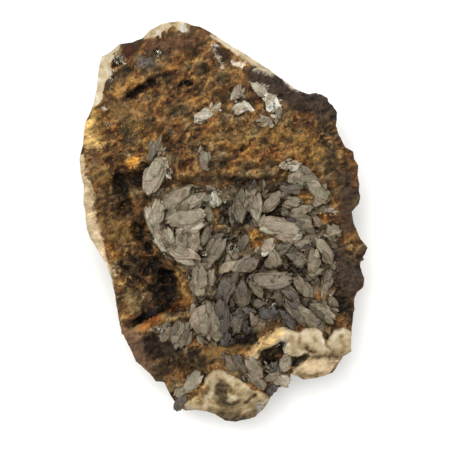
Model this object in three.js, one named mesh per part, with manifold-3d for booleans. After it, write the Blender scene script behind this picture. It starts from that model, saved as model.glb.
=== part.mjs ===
// A quartz cluster: spindle-shaped grey quartz crystals in the hollow of one lump of matrix, a cream rock
// that iron has turned to brown ironstone (limonite) over most of its face. It lies on its back, on the face
// where it was broken and trimmed off its bed, with the crystals facing up.
//
// Units are millimetres. +Z is up, +X and +Y are the specimen's width and length as it is looked down on,
// and the origin is under the middle of its outline, on the surface it rests on.

import * as THREE from "three";
import { mergeVertices } from "three/addons/utils/BufferGeometryUtils.js";
import Module from "manifold-3d";

const wasm = await Module();
wasm.setup();

// ---------------------------------------------------------------- driving dimensions
const GAP = 0.3; // clearance between one mineral's solid and the next
const BASE_SHARE = 0.7; // the trimmed base's width, as a share of the outline's
const SIDE_CURVE = 0.8; // under 1, the sides stay steep for longer before they turn in to the base
const GRID = 30; // cells across the top face, an even number
const SIDE_LEVELS = [0.8, 0.42, 0]; // heights of the side's rings, as shares of the edge's height
const LUMP_HEIGHT = 1.1; // how far the rough surface stands off its smooth shape
const SIDE_ROUGHNESS = 0.035; // the same for the sides, as a share of their distance from the middle
const SPOT_REACH = 3.4; // how far each spot height is felt
const CRYSTAL_THICKNESS = 0.62; // a crystal's thickness, as a share of its width
const CRYSTAL_SIDES = 6;
const SHORT_LENGTH = 6.2; // crystals under this length have no straight sides
const ROOT_DEPTH = 1.5; // how far a crystal's root would reach into the rock, if it weren't cut to it
const SMALLEST_CHIP = 1; // mm3: anything smaller that a cut leaves loose is left out

// The broken outline seen from above, counter-clockwise from the right.
const OUTLINE = [
  [35.2, 0], [34.3, 3], [34.5, 4.3], [36.1, 4.6], [37.1, 8.8], [36.3, 10.6], [36.7, 12.2], [35.9, 14.2],
  [36.3, 16.8], [34.8, 18.2], [34.6, 20.2], [32, 21.4], [31.5, 23.2], [30.1, 26.2], [30.3, 28.2],
  [30.8, 30], [28.6, 33.2], [25.5, 34.9], [21.4, 35.3], [18.6, 36.8], [16.8, 38.2], [13.5, 40.2], [8, 44],
  [0.5, 48.3], [-3.8, 51.6], [-7.2, 53], [-10.4, 54.3], [-13.8, 54.4], [-17.5, 53.6], [-20.4, 51.9],
  [-22.8, 49.5], [-25.4, 48.7], [-28, 48.4], [-29.6, 46.9], [-32.7, 46.1], [-33.9, 41], [-34.3, 36],
  [-35.2, 31.8], [-37.2, 28], [-38.2, 22], [-39, 17], [-38, 10], [-37.8, 5], [-37.3, -0.6], [-36.3, -3.8],
  [-34, -7.5], [-32.2, -10.6], [-30.8, -14.5], [-29.8, -19.5], [-29.2, -25], [-27.6, -30.5], [-25.9, -34],
  [-24, -38], [-20.2, -41.3], [-18.9, -43.6], [-16.6, -43.6], [-14.3, -45.6], [-15.1, -47.2], [-13.5, -49],
  [-13.3, -51.1], [-12, -51.9], [-9.8, -50.9], [-5.3, -51.2], [-2.4, -52.2], [0.6, -54.6], [4, -54.4],
  [8.2, -53.2], [11.6, -49.4], [12, -47.2], [14, -46], [15, -44.4], [17.6, -43.9], [17.2, -40.4],
  [19.2, -41.2], [21.4, -42.6], [30.3, -40.3], [31.4, -36.7], [34.4, -34.6], [34, -29], [35.3, -24.4],
  [35.9, -22], [35.2, -19.3], [37.7, -17], [38.1, -14.6], [36.5, -10.4], [38.1, -8.2], [39, -5.9],
  [35.8, -2.7], [36, -1.2],
];

// Spot heights of the top face, as on a contour map: [x, y, z].
const SPOT_HEIGHTS = [
  // the rim: left side, top, right side
  [-38, 18, 33], [-37, 5, 33], [-36, 27, 34], [-34, 36, 34], [-32, 45, 33], [-36, -3, 32], [-32, -11, 30],
  [-30, -20, 27], [-28, -29, 24], [-24, -37, 21], [-18, -43, 18], [-22, 49, 33], [-13, 53, 34],
  [-4, 51, 33], [4, 45, 34], [13, 40, 33], [20, 35, 31], [28, 32, 28], [31, 25, 27], [35, 17, 26],
  [36, 8, 25], [35, 0, 24], [38, -6, 22], [37, -15, 22], [35, -23, 22],
  // the ironstone above the hollow
  [-26, 42, 35], [-15, 47, 37], [-4, 45, 37], [5, 40, 36], [-26, 32, 34], [-17, 33, 36], [-6, 34, 38],
  [4, 33, 37], [13, 33, 36], [22, 30, 33], [-30, 23, 31], [-24, 18, 31], [-18, 23, 33], [-10, 24, 37],
  [0, 25, 39], [10, 24, 38], [20, 22, 35], [28, 20, 31], [-8, 15, 35], [0, 14.5, 36], [7, 15, 36],
  [13, 17, 36], [22, 18, 33], [30, 13, 29], [32, 8, 28],
  // the hollow's left wall and its deep trough
  [-33, 13, 30], [-34, 7, 30], [-32, 1, 29], [-31, -5, 28], [-27, 12, 20], [-28, 7, 18], [-24, 8, 23],
  [-28, 1, 26], [-24, -2, 19], [-21, -7, 20], [-27, -7, 26], [-27, -14, 24], [-21, -12, 21], [-16, -15, 17],
  [-14, -19, 17], [-21, -19, 20], [-26, -22, 25], [-20, -26, 23], [-13, -24, 23], [-23, -31, 23],
  [-18, -34, 18], [-14, -38, 20], [-18, -40, 18], [-21, 12, 27],
  // the floor under the crystals
  [-15, 5, 29], [-19, 1, 28], [-14, -3, 29], [-8, 3, 29], [-7, -5, 28], [-12, -9, 26], [-7, -14, 25],
  [-1, -2, 25], [-2, -9, 25], [0, -17, 25], [-5, -24, 25], [0, -27, 24], [-4, -33, 20], [-9, -31, 20],
  [-13, -30, 22], [-8, -37, 19], [4, 7, 29], [9, 5, 29], [3, -6, 24], [8, 0, 25], [15, 5, 26], [18, 12, 30],
  [24, 10, 29], [15, -1, 28], [22, 2, 27], [29, 4, 26], [30, -3, 25], [12, -7, 26], [20, -8, 26],
  [27, -8, 26], [6, -12, 25], [13, -15, 27], [22, -15, 25], [25, -17, 23], [31, -16, 24], [4, -21, 24],
  [11, -21, 23], [18, -21, 25], [26, -23, 25], [32, -25, 23], [4, -28, 21], [9, -25, 22], [20, -26, 24],
  // the host rock's broken lobes at the near end
  [9, -32, 27], [14, -28.5, 31], [20, -30, 31], [26, -30, 30], [32, -31, 27], [32, -35, 21], [24, -34, 27],
  [12, -35.5, 23], [17, -36, 23], [22, -38, 24], [28, -38, 23], [22, -42, 17], [30, -40, 17], [17, -41, 18],
  [-2, -35, 23], [3, -35, 23], [5, -39, 23], [10, -41, 21], [15, -44, 17], [-3, -40.5, 28], [2, -42, 27.5],
  [6, -45, 26], [11, -47, 23], [0, -47, 22], [6, -49.5, 19], [1, -53, 14], [9, -52, 13], [-5, -46, 22],
  [-8, -50, 16], [-12, -51, 14], [-10, -44, 20], [-15, -43, 17],
];

// Ridges and grooves between two points: [x1, y1, x2, y2, half width, height]. A groove's height is negative.
const RIDGES_AND_GROOVES = [
  [-24, 35, -14, 40, 1.6, -3.5], // the long cleft near the top
  [-11.5, 38, -8.5, 38, 1.8, -3],
  [2, 12, 14, 13.5, 2.2, 2.4], // the ledge that overhangs the crystals
  [-35, 15.5, -31, 9, 2.4, 2], // the rounded knob on the left wall
  [-27, -24.5, -20, -22, 1.8, -3], [-24, -28, -14, -24.5, 2, 2.5],
  [31, -12, 36, -15, 3, 2.5], // knobs of the right edge
  [34, -6, 37, -6, 2, 2], [33, 2, 35, -3, 2, 1.5], [29, 9, 34, 8, 2, -2], [29, -20, 34, -20, 2, -2.5],
  [14, -27, 24, -28.5, 1.8, 1.5], // the lips of the near lobes
  [6, -35.5, 12, -31, 1.6, 2.5], [19, -35.5, 31, -36, 1.2, -2.5], [-3, -39.5, 11, -46, 1.4, 2],
];

// Mounds of the crust from which the crystals of the hollow grow: [x, y, half width, half length, rise].
const CRUST_MOUNDS = [
  [-11.5, 0, 10, 9, 3.6], [-3.6, -7, 6, 6.6, 3.2], [-3, -20, 6.6, 13, 2.9], [3.5, -12, 6.6, 9, 2.9],
  [17, 5, 9, 7.7, 3.2], [9.5, 1, 7.7, 5, 3.2], [15, -16, 10, 9, 3.2], [23, -7, 7.7, 5.5, 3.2],
  [11, -6, 4.4, 4.4, 3.2], [24, -22, 6.6, 5.5, 2.9],
];

// Crystals: [x, y, length, width, heading, pitch, lift]. Heading is the long axis's direction in degrees
// from +X, pitch raises its leading end, and lift is the height of its middle over the rock.
const HOLLOW_CRYSTALS = [
  // the rosette
  [-12.8, 7.4, 11, 3.8, 40, 12, 2.6], [-19.4, 0.4, 11.5, 3.4, 111, 10, 2],
  [-18.3, 3.6, 6.5, 3.2, 82, 15, 2.8], [-8.3, 6, 10, 3.4, 22, 8, 3.2], [-10.4, 1.9, 13, 4.8, 5, -6, 4.4],
  [-9.4, -0.9, 9.5, 2.4, 3, 4, 3.8], [-14.6, -4.4, 9.5, 3.6, 100, 6, 3],
  [-11.4, -5.6, 10.5, 3.6, 92, 10, 3.6], [-8.2, -5.6, 10.5, 3.6, 88, 6, 3.4], [-5.4, -4, 8, 3, 70, 10, 3],
  [-10.2, -9, 10, 3.6, 168, 5, 3.2], [-16.9, -5.8, 6.5, 3.2, 134, 8, 2.4],
  [-4.3, 3.2, 6.5, 3, 110, 12, 3.2], [-2.4, 6.8, 5, 3.6, 100, 30, 3], [-6, 7, 6.5, 2.8, 170, 10, 3],
  // between the rosette and the near end
  [-7, -15.5, 10.8, 4, 94, 12, 3.4], [-3.7, -14.6, 6.5, 1.9, 88, 10, 2.8],
  [-6.4, -11.3, 5.5, 2.4, 10, 10, 2.6], [-2.6, -7.3, 9.8, 3.5, 60, 8, 3],
  [-2.1, -3.2, 5.5, 1.8, 25, 12, 2.4], [-7.1, -25.8, 9, 3.5, 98, 15, 3.4], [-4.7, -26, 11, 3, 85, 12, 3.8],
  [-2.6, -24.4, 9.8, 3.2, 110, 8, 3], [-0.7, -25.6, 12, 4.2, 95, 10, 2.8],
  [-0.5, -18, 9.8, 4.2, 70, 10, 2.8], [1.9, -15.4, 7.5, 3, 65, 12, 2.6], [-2.7, -30, 5.5, 2, 115, 20, 2.8],
  [4.7, -18.4, 9.2, 4, 92, 14, 3.2], [3.3, -26.2, 9, 3.3, 75, 14, 2.8],
  [6.6, -23.4, 5.2, 2.4, 160, 12, 2.6], [7.8, -25.6, 5, 2.6, 120, 20, 2.8],
  [5.2, -27.6, 5, 2.7, 90, 15, 1.8], [-0.2, -31, 6, 2.4, 80, 5, 1.8],
  // under the ledge, and on to the right
  [4.3, 5.3, 11.5, 4.3, 93, -14, 2.8], [8.2, 5, 10.5, 4, 101, -14, 2.9], [12.8, 6.4, 8.8, 3.3, 50, 10, 3],
  [2, 3, 6.5, 2.4, 95, -8, 1.8], [17.8, 6.1, 5.8, 3.4, 5, 15, 3], [17.6, 9.6, 7, 2.6, 175, 8, 2.6],
  [18.6, 12.8, 6, 3, 35, 20, 2.4], [22.3, 12.8, 8, 3.8, 140, 15, 2.4], [24.8, 9, 9.2, 3.4, 138, 14, 2.6],
  [25.2, 6.4, 6, 2.5, 30, 12, 2.2], [18.4, 15.2, 4.5, 2, 165, 20, 1.6], [19.9, 3.8, 6.5, 3, 20, 12, 2.8],
  [16.4, 3.2, 3.6, 2, 0, 20, 2.6],
  // the large leaves
  [14.7, -0.6, 12.8, 5, 172, 6, 3.8], [20.3, 0.7, 8, 4.4, 160, 10, 3.2],
  [17.4, -2.9, 7.5, 2.6, 170, 6, 2.6], [11.4, -5.8, 6.6, 3.2, 48, 25, 2.8],
  [12.2, -10.2, 5, 2.8, 85, 25, 2.8], [14.1, -9.2, 6.5, 2.2, 112, 18, 2.8], [19.4, -9, 7, 5, 150, 10, 2.4],
  [20.6, -5, 5.2, 2.6, 10, 15, 2.4], [26.7, -6.5, 8.8, 3.4, 128, 12, 3],
  [23.6, -9.9, 8.4, 3.2, 82, 14, 3.2], [24, -4.6, 5.5, 2.6, 60, 12, 2.2],
  [4.9, -4.6, 5.6, 3.2, 70, 15, 2.2], [16, -6.2, 5.5, 2.4, 30, 20, 2.2],
  // the middle
  [12.5, -15.2, 12.4, 5, 6, 6, 4], [8.7, -17.4, 6.8, 3.1, 118, 10, 3.2], [5.8, -10.6, 8, 5, 40, 10, 2.8],
  [0.9, -11.2, 5.8, 3, 38, 25, 2.8], [21.1, -17, 8.4, 2.8, 128, 12, 3.2],
  [18, -18.8, 8.6, 3.5, 132, 10, 2.8], [22.8, -24.7, 10, 3.1, 133, 10, 3.4],
  [19.2, -23.8, 11, 3.5, 128, 8, 2.6], [26.9, -24.4, 8, 4.3, 138, 10, 2.8],
  [16.7, -25.2, 8, 2.6, 135, 8, 1.6], [14.7, -20.3, 6, 2.4, 105, 20, 2.6], [12, -23.8, 7, 4.2, 5, 8, 1.8],
  [9.4, -21.4, 5.2, 2.8, 15, 20, 2.4], [27.6, -15.2, 8.4, 2.4, 76, 10, 1.8],
  [2.6, -8.2, 5, 2.2, 120, 25, 2],
];

// Crystals that grew outside the hollow, by group. A group makes one node for each set of crystals that touch.
const OUTLYING_CRYSTALS = {
  upper_left_blades: [
    [-20.2, 13.2, 13.2, 3.9, 65, 6, 2.2], [-18.8, 20.4, 8.4, 2.6, 68, 6, 1.6],
    [-16.9, 17.2, 4, 2.8, 170, 15, 1.8],
  ],
  upper_middle_blade: [[-5.5, 17, 6, 2.9, 95, 10, 1.3]],
  top_blades: [[-4.6, 29.2, 7, 2.6, 25, 8, 1.2], [-2.6, 30.6, 4, 1.8, 60, 15, 1.2]],
  upper_right_tuft: [
    [3.2, 34.7, 5.8, 2.1, 65, 12, 1.5], [3.6, 31.1, 5, 2.9, 40, 14, 1.6], [6.4, 31.2, 4.6, 2, 125, 14, 1.5],
    [9.5, 36.2, 5.8, 2.4, 145, 12, 1.5], [12.6, 32.2, 5.4, 4.2, 30, 18, 1.8],
    [13.5, 29.4, 4.2, 2.8, 60, 15, 1.4], [5.4, 34.2, 5, 1.9, 20, 8, 1.1],
    [8.4, 33.4, 6.4, 2.2, 150, 6, 0.9],
  ],
  right_blades: [[27.8, 4, 4.2, 1.6, 10, 15, 1.6], [29, -2, 5, 2.4, 15, 18, 2]],
  lower_left_spray: [
    [-15.8, -29.8, 6, 2.2, 65, 12, 2.2], [-13.2, -29.4, 8, 3, 68, 10, 2.8],
    [-11.3, -31.1, 7.4, 2.1, 72, 12, 2.6], [-10.6, -27.6, 4.6, 2, 50, 15, 2.2],
    [-12.9, -31.9, 5.6, 2.6, 80, 10, 2.2],
  ],
  near_left_blades: [
    [-9.6, -42.8, 9.6, 3.4, 48, 8, 2.2], [-12.2, -48.4, 6.8, 3.3, 70, 6, 1.8],
    [-12.4, -45.4, 5.6, 2.4, 52, 8, 1.6],
  ],
  near_crystals: [
    [1.4, -37.6, 6, 2.6, 120, 10, 1.8], [4.3, -37.8, 6.8, 3, 118, 10, 2.2],
    [7.8, -38.7, 8.4, 3.9, 132, 8, 2.6], [8.6, -42.4, 7.6, 3.1, 135, 6, 1.4],
    [16.4, -37.6, 6.4, 3.4, 65, 10, 1.8], [12.6, -41.6, 6, 3, 20, 8, 1.8],
    [15.7, -42.3, 5.8, 3.8, 150, 6, 1.8], [13.2, -39.2, 5.4, 2.4, 60, 8, 0.9],
  ],
};

// ---------------------------------------------------------------- shape of the rock
const polar = (points) =>
  points
    .map(([x, y]) => ({ angle: Math.atan2(y, x), radius: Math.hypot(x, y) }))
    .sort((a, b) => a.angle - b.angle);

// The radius of a closed outline in any direction, read straight from point to point.
function radiusOf(points) {
  const corners = polar(points);
  const turn = 2 * Math.PI;
  const first = corners[0];
  const last = corners.at(-1);
  const around = [{ ...last, angle: last.angle - turn }, ...corners, { ...first, angle: first.angle + turn }];
  return (angle) => {
    const next = around.findIndex((corner) => corner.angle > angle);
    const [a, b] = [around[next - 1], around[next]];
    return THREE.MathUtils.mapLinear(angle, a.angle, b.angle, a.radius, b.radius);
  };
}
const outlineRadius = radiusOf(OUTLINE);
const wrapped = (angle) => Math.atan2(Math.sin(angle), Math.cos(angle));

// The outline without its small notches, for the lower part of the sides.
function evenedRadius(angle) {
  const turns = [-0.36, -0.24, -0.12, 0, 0.12, 0.24, 0.36];
  return turns.reduce((sum, turn) => sum + outlineRadius(wrapped(angle + turn)), 0) / turns.length;
}

// How near a point is to a ridge's line: 1 on the line, falling to 0 well outside its half width.
function nearness(x, y, [x1, y1, x2, y2, halfWidth]) {
  const line = new THREE.Line3(new THREE.Vector3(x1, y1, 0), new THREE.Vector3(x2, y2, 0));
  const point = new THREE.Vector3(x, y, 0);
  const away = line.closestPointToPoint(point, true, new THREE.Vector3()).distanceTo(point);
  return Math.exp(-((away / halfWidth) ** 2));
}

// The top face's smooth height: the spot heights blended by distance, then the ridges and grooves.
function relief(x, y) {
  let sum = 0;
  let weights = 0;
  for (const [sx, sy, height] of SPOT_HEIGHTS) {
    const share = ((x - sx) ** 2 + (y - sy) ** 2) / SPOT_REACH ** 2;
    const weight = Math.exp(-share / 2) + 1e-4 / (1 + share ** 2);
    sum += weight * height;
    weights += weight;
  }
  const ridges = RIDGES_AND_GROOVES.reduce((z, ridge) => z + ridge[5] * nearness(x, y, ridge), 0);
  return sum / weights + ridges;
}

// Crossed waves of three lengths, from -1 to 1, for the lumps of rough rock.
function lumps(x, y, z) {
  const wave = (length, shift) =>
    Math.sin(x / length + shift) * Math.sin(y / length + 2 * shift + z / length) +
    Math.sin((x + y) / length - shift) * Math.cos((z - x) / length);
  return (wave(1.3, 0.4) + wave(2.1, 1.9) + 1.5 * wave(3.7, 3.1)) / 5;
}

// A square's point, from -1 to 1 each way, moved to the disc so that the grid's cells stay even.
function squareToDisc(u, v) {
  if (u === 0 && v === 0) return { share: 0, angle: 0 };
  const wide = Math.abs(u) > Math.abs(v);
  const share = wide ? u : v;
  const angle = (Math.PI / 4) * (wide ? v / u : 2 - u / v);
  return { share: Math.abs(share), angle: share < 0 ? angle + Math.PI : angle };
}

// The whole lump as one closed surface: a relief grid on top, rings down the side and a flat base.
function stoneGeometry() {
  const places = [];
  const faces = [];
  const cell = (i, j) => j * (GRID + 1) + i;
  for (let j = 0; j <= GRID; j++)
    for (let i = 0; i <= GRID; i++) {
      const { share, angle } = squareToDisc((2 * i) / GRID - 1, (2 * j) / GRID - 1);
      const radius = share * outlineRadius(wrapped(angle));
      const [x, y] = [radius * Math.cos(angle), radius * Math.sin(angle)];
      const z = relief(x, y);
      places.push([x, y, z + LUMP_HEIGHT * lumps(x, y, z)]);
    }
  for (let j = 0; j < GRID; j++)
    for (let i = 0; i < GRID; i++) {
      const [a, b, c, d] = [cell(i, j), cell(i + 1, j), cell(i + 1, j + 1), cell(i, j + 1)];
      const outwardIsAC = (i < GRID / 2) === (j < GRID / 2);
      if (outwardIsAC) faces.push([a, b, c], [a, c, d]);
      else faces.push([a, b, d], [b, c, d]);
    }
  const along = [...Array(GRID).keys()];
  let ring = [
    ...along.map((k) => cell(k, 0)),
    ...along.map((k) => cell(GRID, k)),
    ...along.map((k) => cell(GRID - k, GRID)),
    ...along.map((k) => cell(0, GRID - k)),
  ];
  const edge = ring.map((index) => places[index]);
  for (const level of SIDE_LEVELS) {
    const lower = edge.map(([x, y, z]) => {
      const [radius, angle] = [Math.hypot(x, y), Math.atan2(y, x)];
      const evened = Math.min(radius, THREE.MathUtils.lerp(evenedRadius(angle), radius, level ** 3));
      const rough = level > 0 ? SIDE_ROUGHNESS * lumps(x, y, level * z * 2) : 0;
      const share = BASE_SHARE + (1 - BASE_SHARE) * Math.sin((level * Math.PI) / 2) ** SIDE_CURVE + rough;
      const reach = evened * Math.min(share, 1);
      return places.push([reach * Math.cos(angle), reach * Math.sin(angle), z * level]) - 1;
    });
    ring.forEach((upper, k) => {
      const next = (k + 1) % ring.length;
      faces.push([upper, lower[k], lower[next]], [upper, lower[next], ring[next]]);
    });
    ring = lower;
  }
  const middle = places.push([0, 0, 0]) - 1;
  ring.forEach((corner, k) => faces.push([middle, ring[(k + 1) % ring.length], corner]));
  return new THREE.BufferGeometry()
    .setAttribute("position", new THREE.Float32BufferAttribute(places.flat(), 3))
    .setIndex(faces.flat());
}

// ---------------------------------------------------------------- solids
function toSolid(geometry) {
  geometry.deleteAttribute("normal");
  geometry.deleteAttribute("uv");
  const merged = mergeVertices(geometry, 1e-4);
  return new wasm.Manifold(
    new wasm.Mesh({
      numProp: 3,
      vertProperties: new Float32Array(merged.attributes.position.array),
      triVerts: new Uint32Array(merged.index.array),
    }),
  );
}

function toGeometry(solid) {
  const { vertProperties, triVerts, numProp, numVert } = solid.getMesh();
  const places = new Float32Array(numVert * 3);
  for (let k = 0; k < numVert; k++) places.set(vertProperties.subarray(k * numProp, k * numProp + 3), k * 3);
  const geometry = new THREE.BufferGeometry()
    .setAttribute("position", new THREE.BufferAttribute(places, 3))
    .setIndex(new THREE.BufferAttribute(triVerts, 1));
  geometry.computeVertexNormals();
  return geometry;
}

const joined = (solids) => solids.reduce((whole, solid) => whole.add(solid));

// One crystal: a flattened six-sided spindle with a point at each end. A short one has no straight sides.
const SPINDLE = [[0, -1], [0.84, -0.45], [0.88, 0.36], [0, 1]];
const SHORT_SPINDLE = [[0, -1], [1, 0], [0, 1]];
function crystalSolid([x, y, length, width, heading, pitch, lift], index) {
  const { degToRad } = THREE.MathUtils;
  const roll = 24 * Math.sin(2.4 * index + x);
  const profile = length < SHORT_LENGTH ? SHORT_SPINDLE : SPINDLE;
  const spindle = new THREE.LatheGeometry(profile.map((point) => new THREE.Vector2(...point)), CRYSTAL_SIDES)
    .scale(width / 2, length / 2, (CRYSTAL_THICKNESS * width) / 2)
    .rotateY(degToRad(roll));
  growRoot(spindle, lift + ROOT_DEPTH);
  spindle
    .rotateX(degToRad(pitch))
    .rotateZ(degToRad(heading - 90))
    .translate(x, y, relief(x, y) + lift);
  return toSolid(spindle);
}

// The underside of a crystal is drawn down to the rock that it grows from.
function growRoot(spindle, depth) {
  spindle.computeBoundingBox();
  const stretch = depth / -spindle.boundingBox.min.z;
  const place = spindle.getAttribute("position");
  for (let k = 0; k < place.count; k++) if (place.getZ(k) < 0) place.setZ(k, place.getZ(k) * stretch);
}

// A low faceted mound, sunk into the rock so that only its top stands out.
function moundSolid([x, y, halfWidth, halfLength, rise]) {
  const sunk = 0.3 * rise;
  const mound = new THREE.IcosahedronGeometry(1, 0)
    .scale(halfWidth, halfLength, rise + sunk)
    .translate(x, y, relief(x, y) - sunk);
  return toSolid(mound);
}

const stone = toSolid(stoneGeometry());
const stoneWithClearance = stone.translate([0, 0, GAP]);
const widerStone = stoneWithClearance.add(stone.scale([1.008, 1.008, 1]));

// ---------------------------------------------------------------- the specimen
const finishes = {
  matrix: { color: 0x6b4422, roughness: 0.85 },
  quartz: { color: 0x9a9184, roughness: 0.5 },
};

function mineral(name, solid, finish) {
  const mesh = new THREE.Mesh(toGeometry(solid), new THREE.MeshStandardMaterial({ ...finish, metalness: 0 }));
  mesh.name = name;
  return mesh;
}

// Crystals that touch are one solid. Those of a group that don't are solids of their own, largest first.
function crystalGroup(name, solids, rock) {
  const bodies = joined(solids)
    .subtract(rock)
    .decompose()
    .filter((body) => body.volume() > SMALLEST_CHIP)
    .sort((a, b) => b.volume() - a.volume());
  return bodies.map((body, k) => mineral(k > 0 ? `${name}_${k + 1}` : name, body, finishes.quartz));
}

const cluster = new THREE.Group();
cluster.add(mineral("matrix", stone, finishes.matrix));
const crustSolids = [...CRUST_MOUNDS.map(moundSolid), ...HOLLOW_CRYSTALS.map(crystalSolid)];
cluster.add(...crystalGroup("crystal_crust", crustSolids, stoneWithClearance));
for (const [name, crystals] of Object.entries(OUTLYING_CRYSTALS))
  cluster.add(...crystalGroup(name, crystals.map(crystalSolid), widerStone));

export default cluster;
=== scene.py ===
# %% [markdown]
# # A quartz cluster in ironstone
#
# A hand specimen of brown ironstone with a cream rim, and grey spindle-shaped quartz crystals in its
# hollow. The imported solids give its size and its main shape. Here they are dressed: the rock as one fine
# mesh with pits, lumps and broken edges, the crystals with flat faces and growth lines, and stone made from
# nodes.

# %% Frame
import math

import bpy
import numpy as np
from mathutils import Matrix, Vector
from mathutils.bvhtree import BVHTree


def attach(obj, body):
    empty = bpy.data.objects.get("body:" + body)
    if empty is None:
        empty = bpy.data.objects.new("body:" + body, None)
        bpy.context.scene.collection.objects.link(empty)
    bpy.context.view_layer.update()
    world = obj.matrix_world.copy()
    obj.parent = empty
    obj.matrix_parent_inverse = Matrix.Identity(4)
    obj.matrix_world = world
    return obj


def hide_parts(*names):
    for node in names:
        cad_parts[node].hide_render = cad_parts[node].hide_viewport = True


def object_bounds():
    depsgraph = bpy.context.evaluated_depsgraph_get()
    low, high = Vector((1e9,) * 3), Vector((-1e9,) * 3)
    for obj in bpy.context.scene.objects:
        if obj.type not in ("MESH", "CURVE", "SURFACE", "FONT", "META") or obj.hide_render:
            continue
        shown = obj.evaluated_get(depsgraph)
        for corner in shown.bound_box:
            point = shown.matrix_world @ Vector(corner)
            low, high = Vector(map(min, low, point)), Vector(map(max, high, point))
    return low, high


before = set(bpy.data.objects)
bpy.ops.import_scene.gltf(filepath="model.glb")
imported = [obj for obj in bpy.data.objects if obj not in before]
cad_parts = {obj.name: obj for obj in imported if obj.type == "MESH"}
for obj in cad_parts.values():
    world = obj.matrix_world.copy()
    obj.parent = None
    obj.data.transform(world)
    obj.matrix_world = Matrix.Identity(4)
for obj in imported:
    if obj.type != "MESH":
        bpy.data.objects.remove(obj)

CAD_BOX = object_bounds()
MM = 0.001  # the frame is in metres, and everything below is worked out in millimetres
size_mm = (np.array(CAD_BOX[1]) - np.array(CAD_BOX[0])) / MM
print("CAD box, mm:", size_mm.round(1))

# %% [markdown]
# ## Noise
#
# Broken rock has lumps on lumps, down to grains. Blender's own textures could displace it, but then the
# mesh couldn't be measured while it is made, so these functions work on plain arrays of points. They give
# the same on every run. `lattice` gives each cell of space its own number, `noise` blends them into smooth
# lumps, `octaves` lays ever smaller lumps on those, and `grains` finds the nearest of scattered seeds,
# which gives rounded grains and the cracks between.

# %% Noise functions
def lattice(cell, seed):
    """A repeatable number from 0 to 1 for each cell of whole numbers."""
    mixed = cell[..., 0] * 374761393 + cell[..., 1] * 668265263 + cell[..., 2] * 1442695041 + seed * 974634777
    mixed = (mixed ^ (mixed >> 13)) * 1274126177
    return ((mixed ^ (mixed >> 16)) & 0xFFFFFF) / 0xFFFFFF


def noise(points, size, seed=0):
    """Smooth noise from -1 to 1, with lumps about size mm across."""
    scaled = points / size + seed * 7.31
    cell = np.floor(scaled).astype(np.int64)
    part = scaled - cell
    part = part * part * (3 - 2 * part)
    total = np.zeros(len(points))
    for corner in np.ndindex(2, 2, 2):
        share = np.prod(np.where(corner, part, 1 - part), axis=-1)
        total += share * lattice(cell + corner, seed)
    return 2 * total - 1


# %% Octaves and grains
TURN = np.array([[0.36, 0.48, -0.8], [-0.8, 0.6, 0.0], [0.48, 0.64, 0.6]])  # turns each octave off the last
STREAK_ANGLE = 0.42  # the rock's streaks rise to the right at about 24 degrees
cosine, sine = math.cos(STREAK_ANGLE), math.sin(STREAK_ANGLE)
# what is drawn on points @ STREAKED comes out long along the streaks
STREAKED = np.array([[cosine, -sine, 0], [sine, cosine, 0], [0, 0, 1]]) * [0.6, 1.0, 1.0]


def octaves(points, size, count, seed=0):
    """Noise on noise: each octave half the size and half the height of the one before."""
    total = np.zeros(len(points))
    height = 0.5
    for k in range(count):
        total += height * noise(points, size, seed + k)
        points = points @ TURN
        size *= 0.5
        height *= 0.5
    return total


def grains(points, size, seed=0):
    """Distances to the two nearest of scattered seeds, as shares of size, and the nearest one's number."""
    scaled = points / size
    cell = np.floor(scaled).astype(np.int64)
    nearest = np.full(len(points), 9.0)
    second = np.full(len(points), 9.0)
    number = np.zeros(len(points))
    for offset in np.ndindex(3, 3, 3):
        around = cell + np.array(offset) - 1
        place = around + np.stack([lattice(around, seed + k) for k in range(3)], axis=-1)
        away = np.linalg.norm(scaled - place, axis=-1)
        closer = away < nearest
        second = np.where(closer, nearest, np.minimum(second, away))
        number = np.where(closer, lattice(around, seed + 3), number)
        nearest = np.where(closer, away, nearest)
    return nearest, second, number


def step(low, high, value):
    """0 below low, 1 above high, and a smooth rise between."""
    share = np.clip((value - low) / (high - low), 0, 1)
    return share * share * (3 - 2 * share)


# %% [markdown]
# ## Colours, nodes and pieces
#
# Colours are given as sRGB hex and turned to the linear values that the shaders work in by one function.
# Every material is built from nodes by one small helper. A mesh could be shaped and coloured by hand in
# Blender, but these are stone, with a number for every point, so each piece is made from arrays and keeps
# its numbers as attributes, which its material reads.

# %% Colour and node helpers
def linear(hex_colour):
    """An sRGB hex colour as linear RGBA."""
    parts = [int(hex_colour[k : k + 2], 16) / 255 for k in (1, 3, 5)]
    return tuple(c / 12.92 if c <= 0.04045 else ((c + 0.055) / 1.055) ** 2.4 for c in parts) + (1.0,)


def add(tree, kind, inputs=(), output=None, stops=None, **settings):
    """Adds a shader node with its settings and links, and gives back an output of it to link on.

    inputs gives the sockets their values, or the outputs of other nodes to follow: by name or number, or in
    order where it is a plain list. Where no output is named, it is the first that is in use.
    """
    node = tree.nodes.new("ShaderNode" + kind)
    for key, value in settings.items():
        setattr(node, key, value)
    for key, value in inputs.items() if isinstance(inputs, dict) else enumerate(inputs):
        if isinstance(value, bpy.types.NodeSocket):
            tree.links.new(value, node.inputs[key])
        else:
            node.inputs[key].default_value = value
    if stops:
        ramp = node.color_ramp
        while len(ramp.elements) < len(stops):
            ramp.elements.new(0.5)
        for element, (place, colour) in zip(ramp.elements, stops):
            element.position = place
            element.color = linear(colour)
    return node.outputs[output] if output else next((each for each in node.outputs if each.enabled), None)


# %% Material and piece helpers
def new_material(name):
    """An empty material and its node tree."""
    material = bpy.data.materials.new(name)
    material.use_nodes = True
    material.node_tree.nodes.clear()
    return material, material.node_tree


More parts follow.
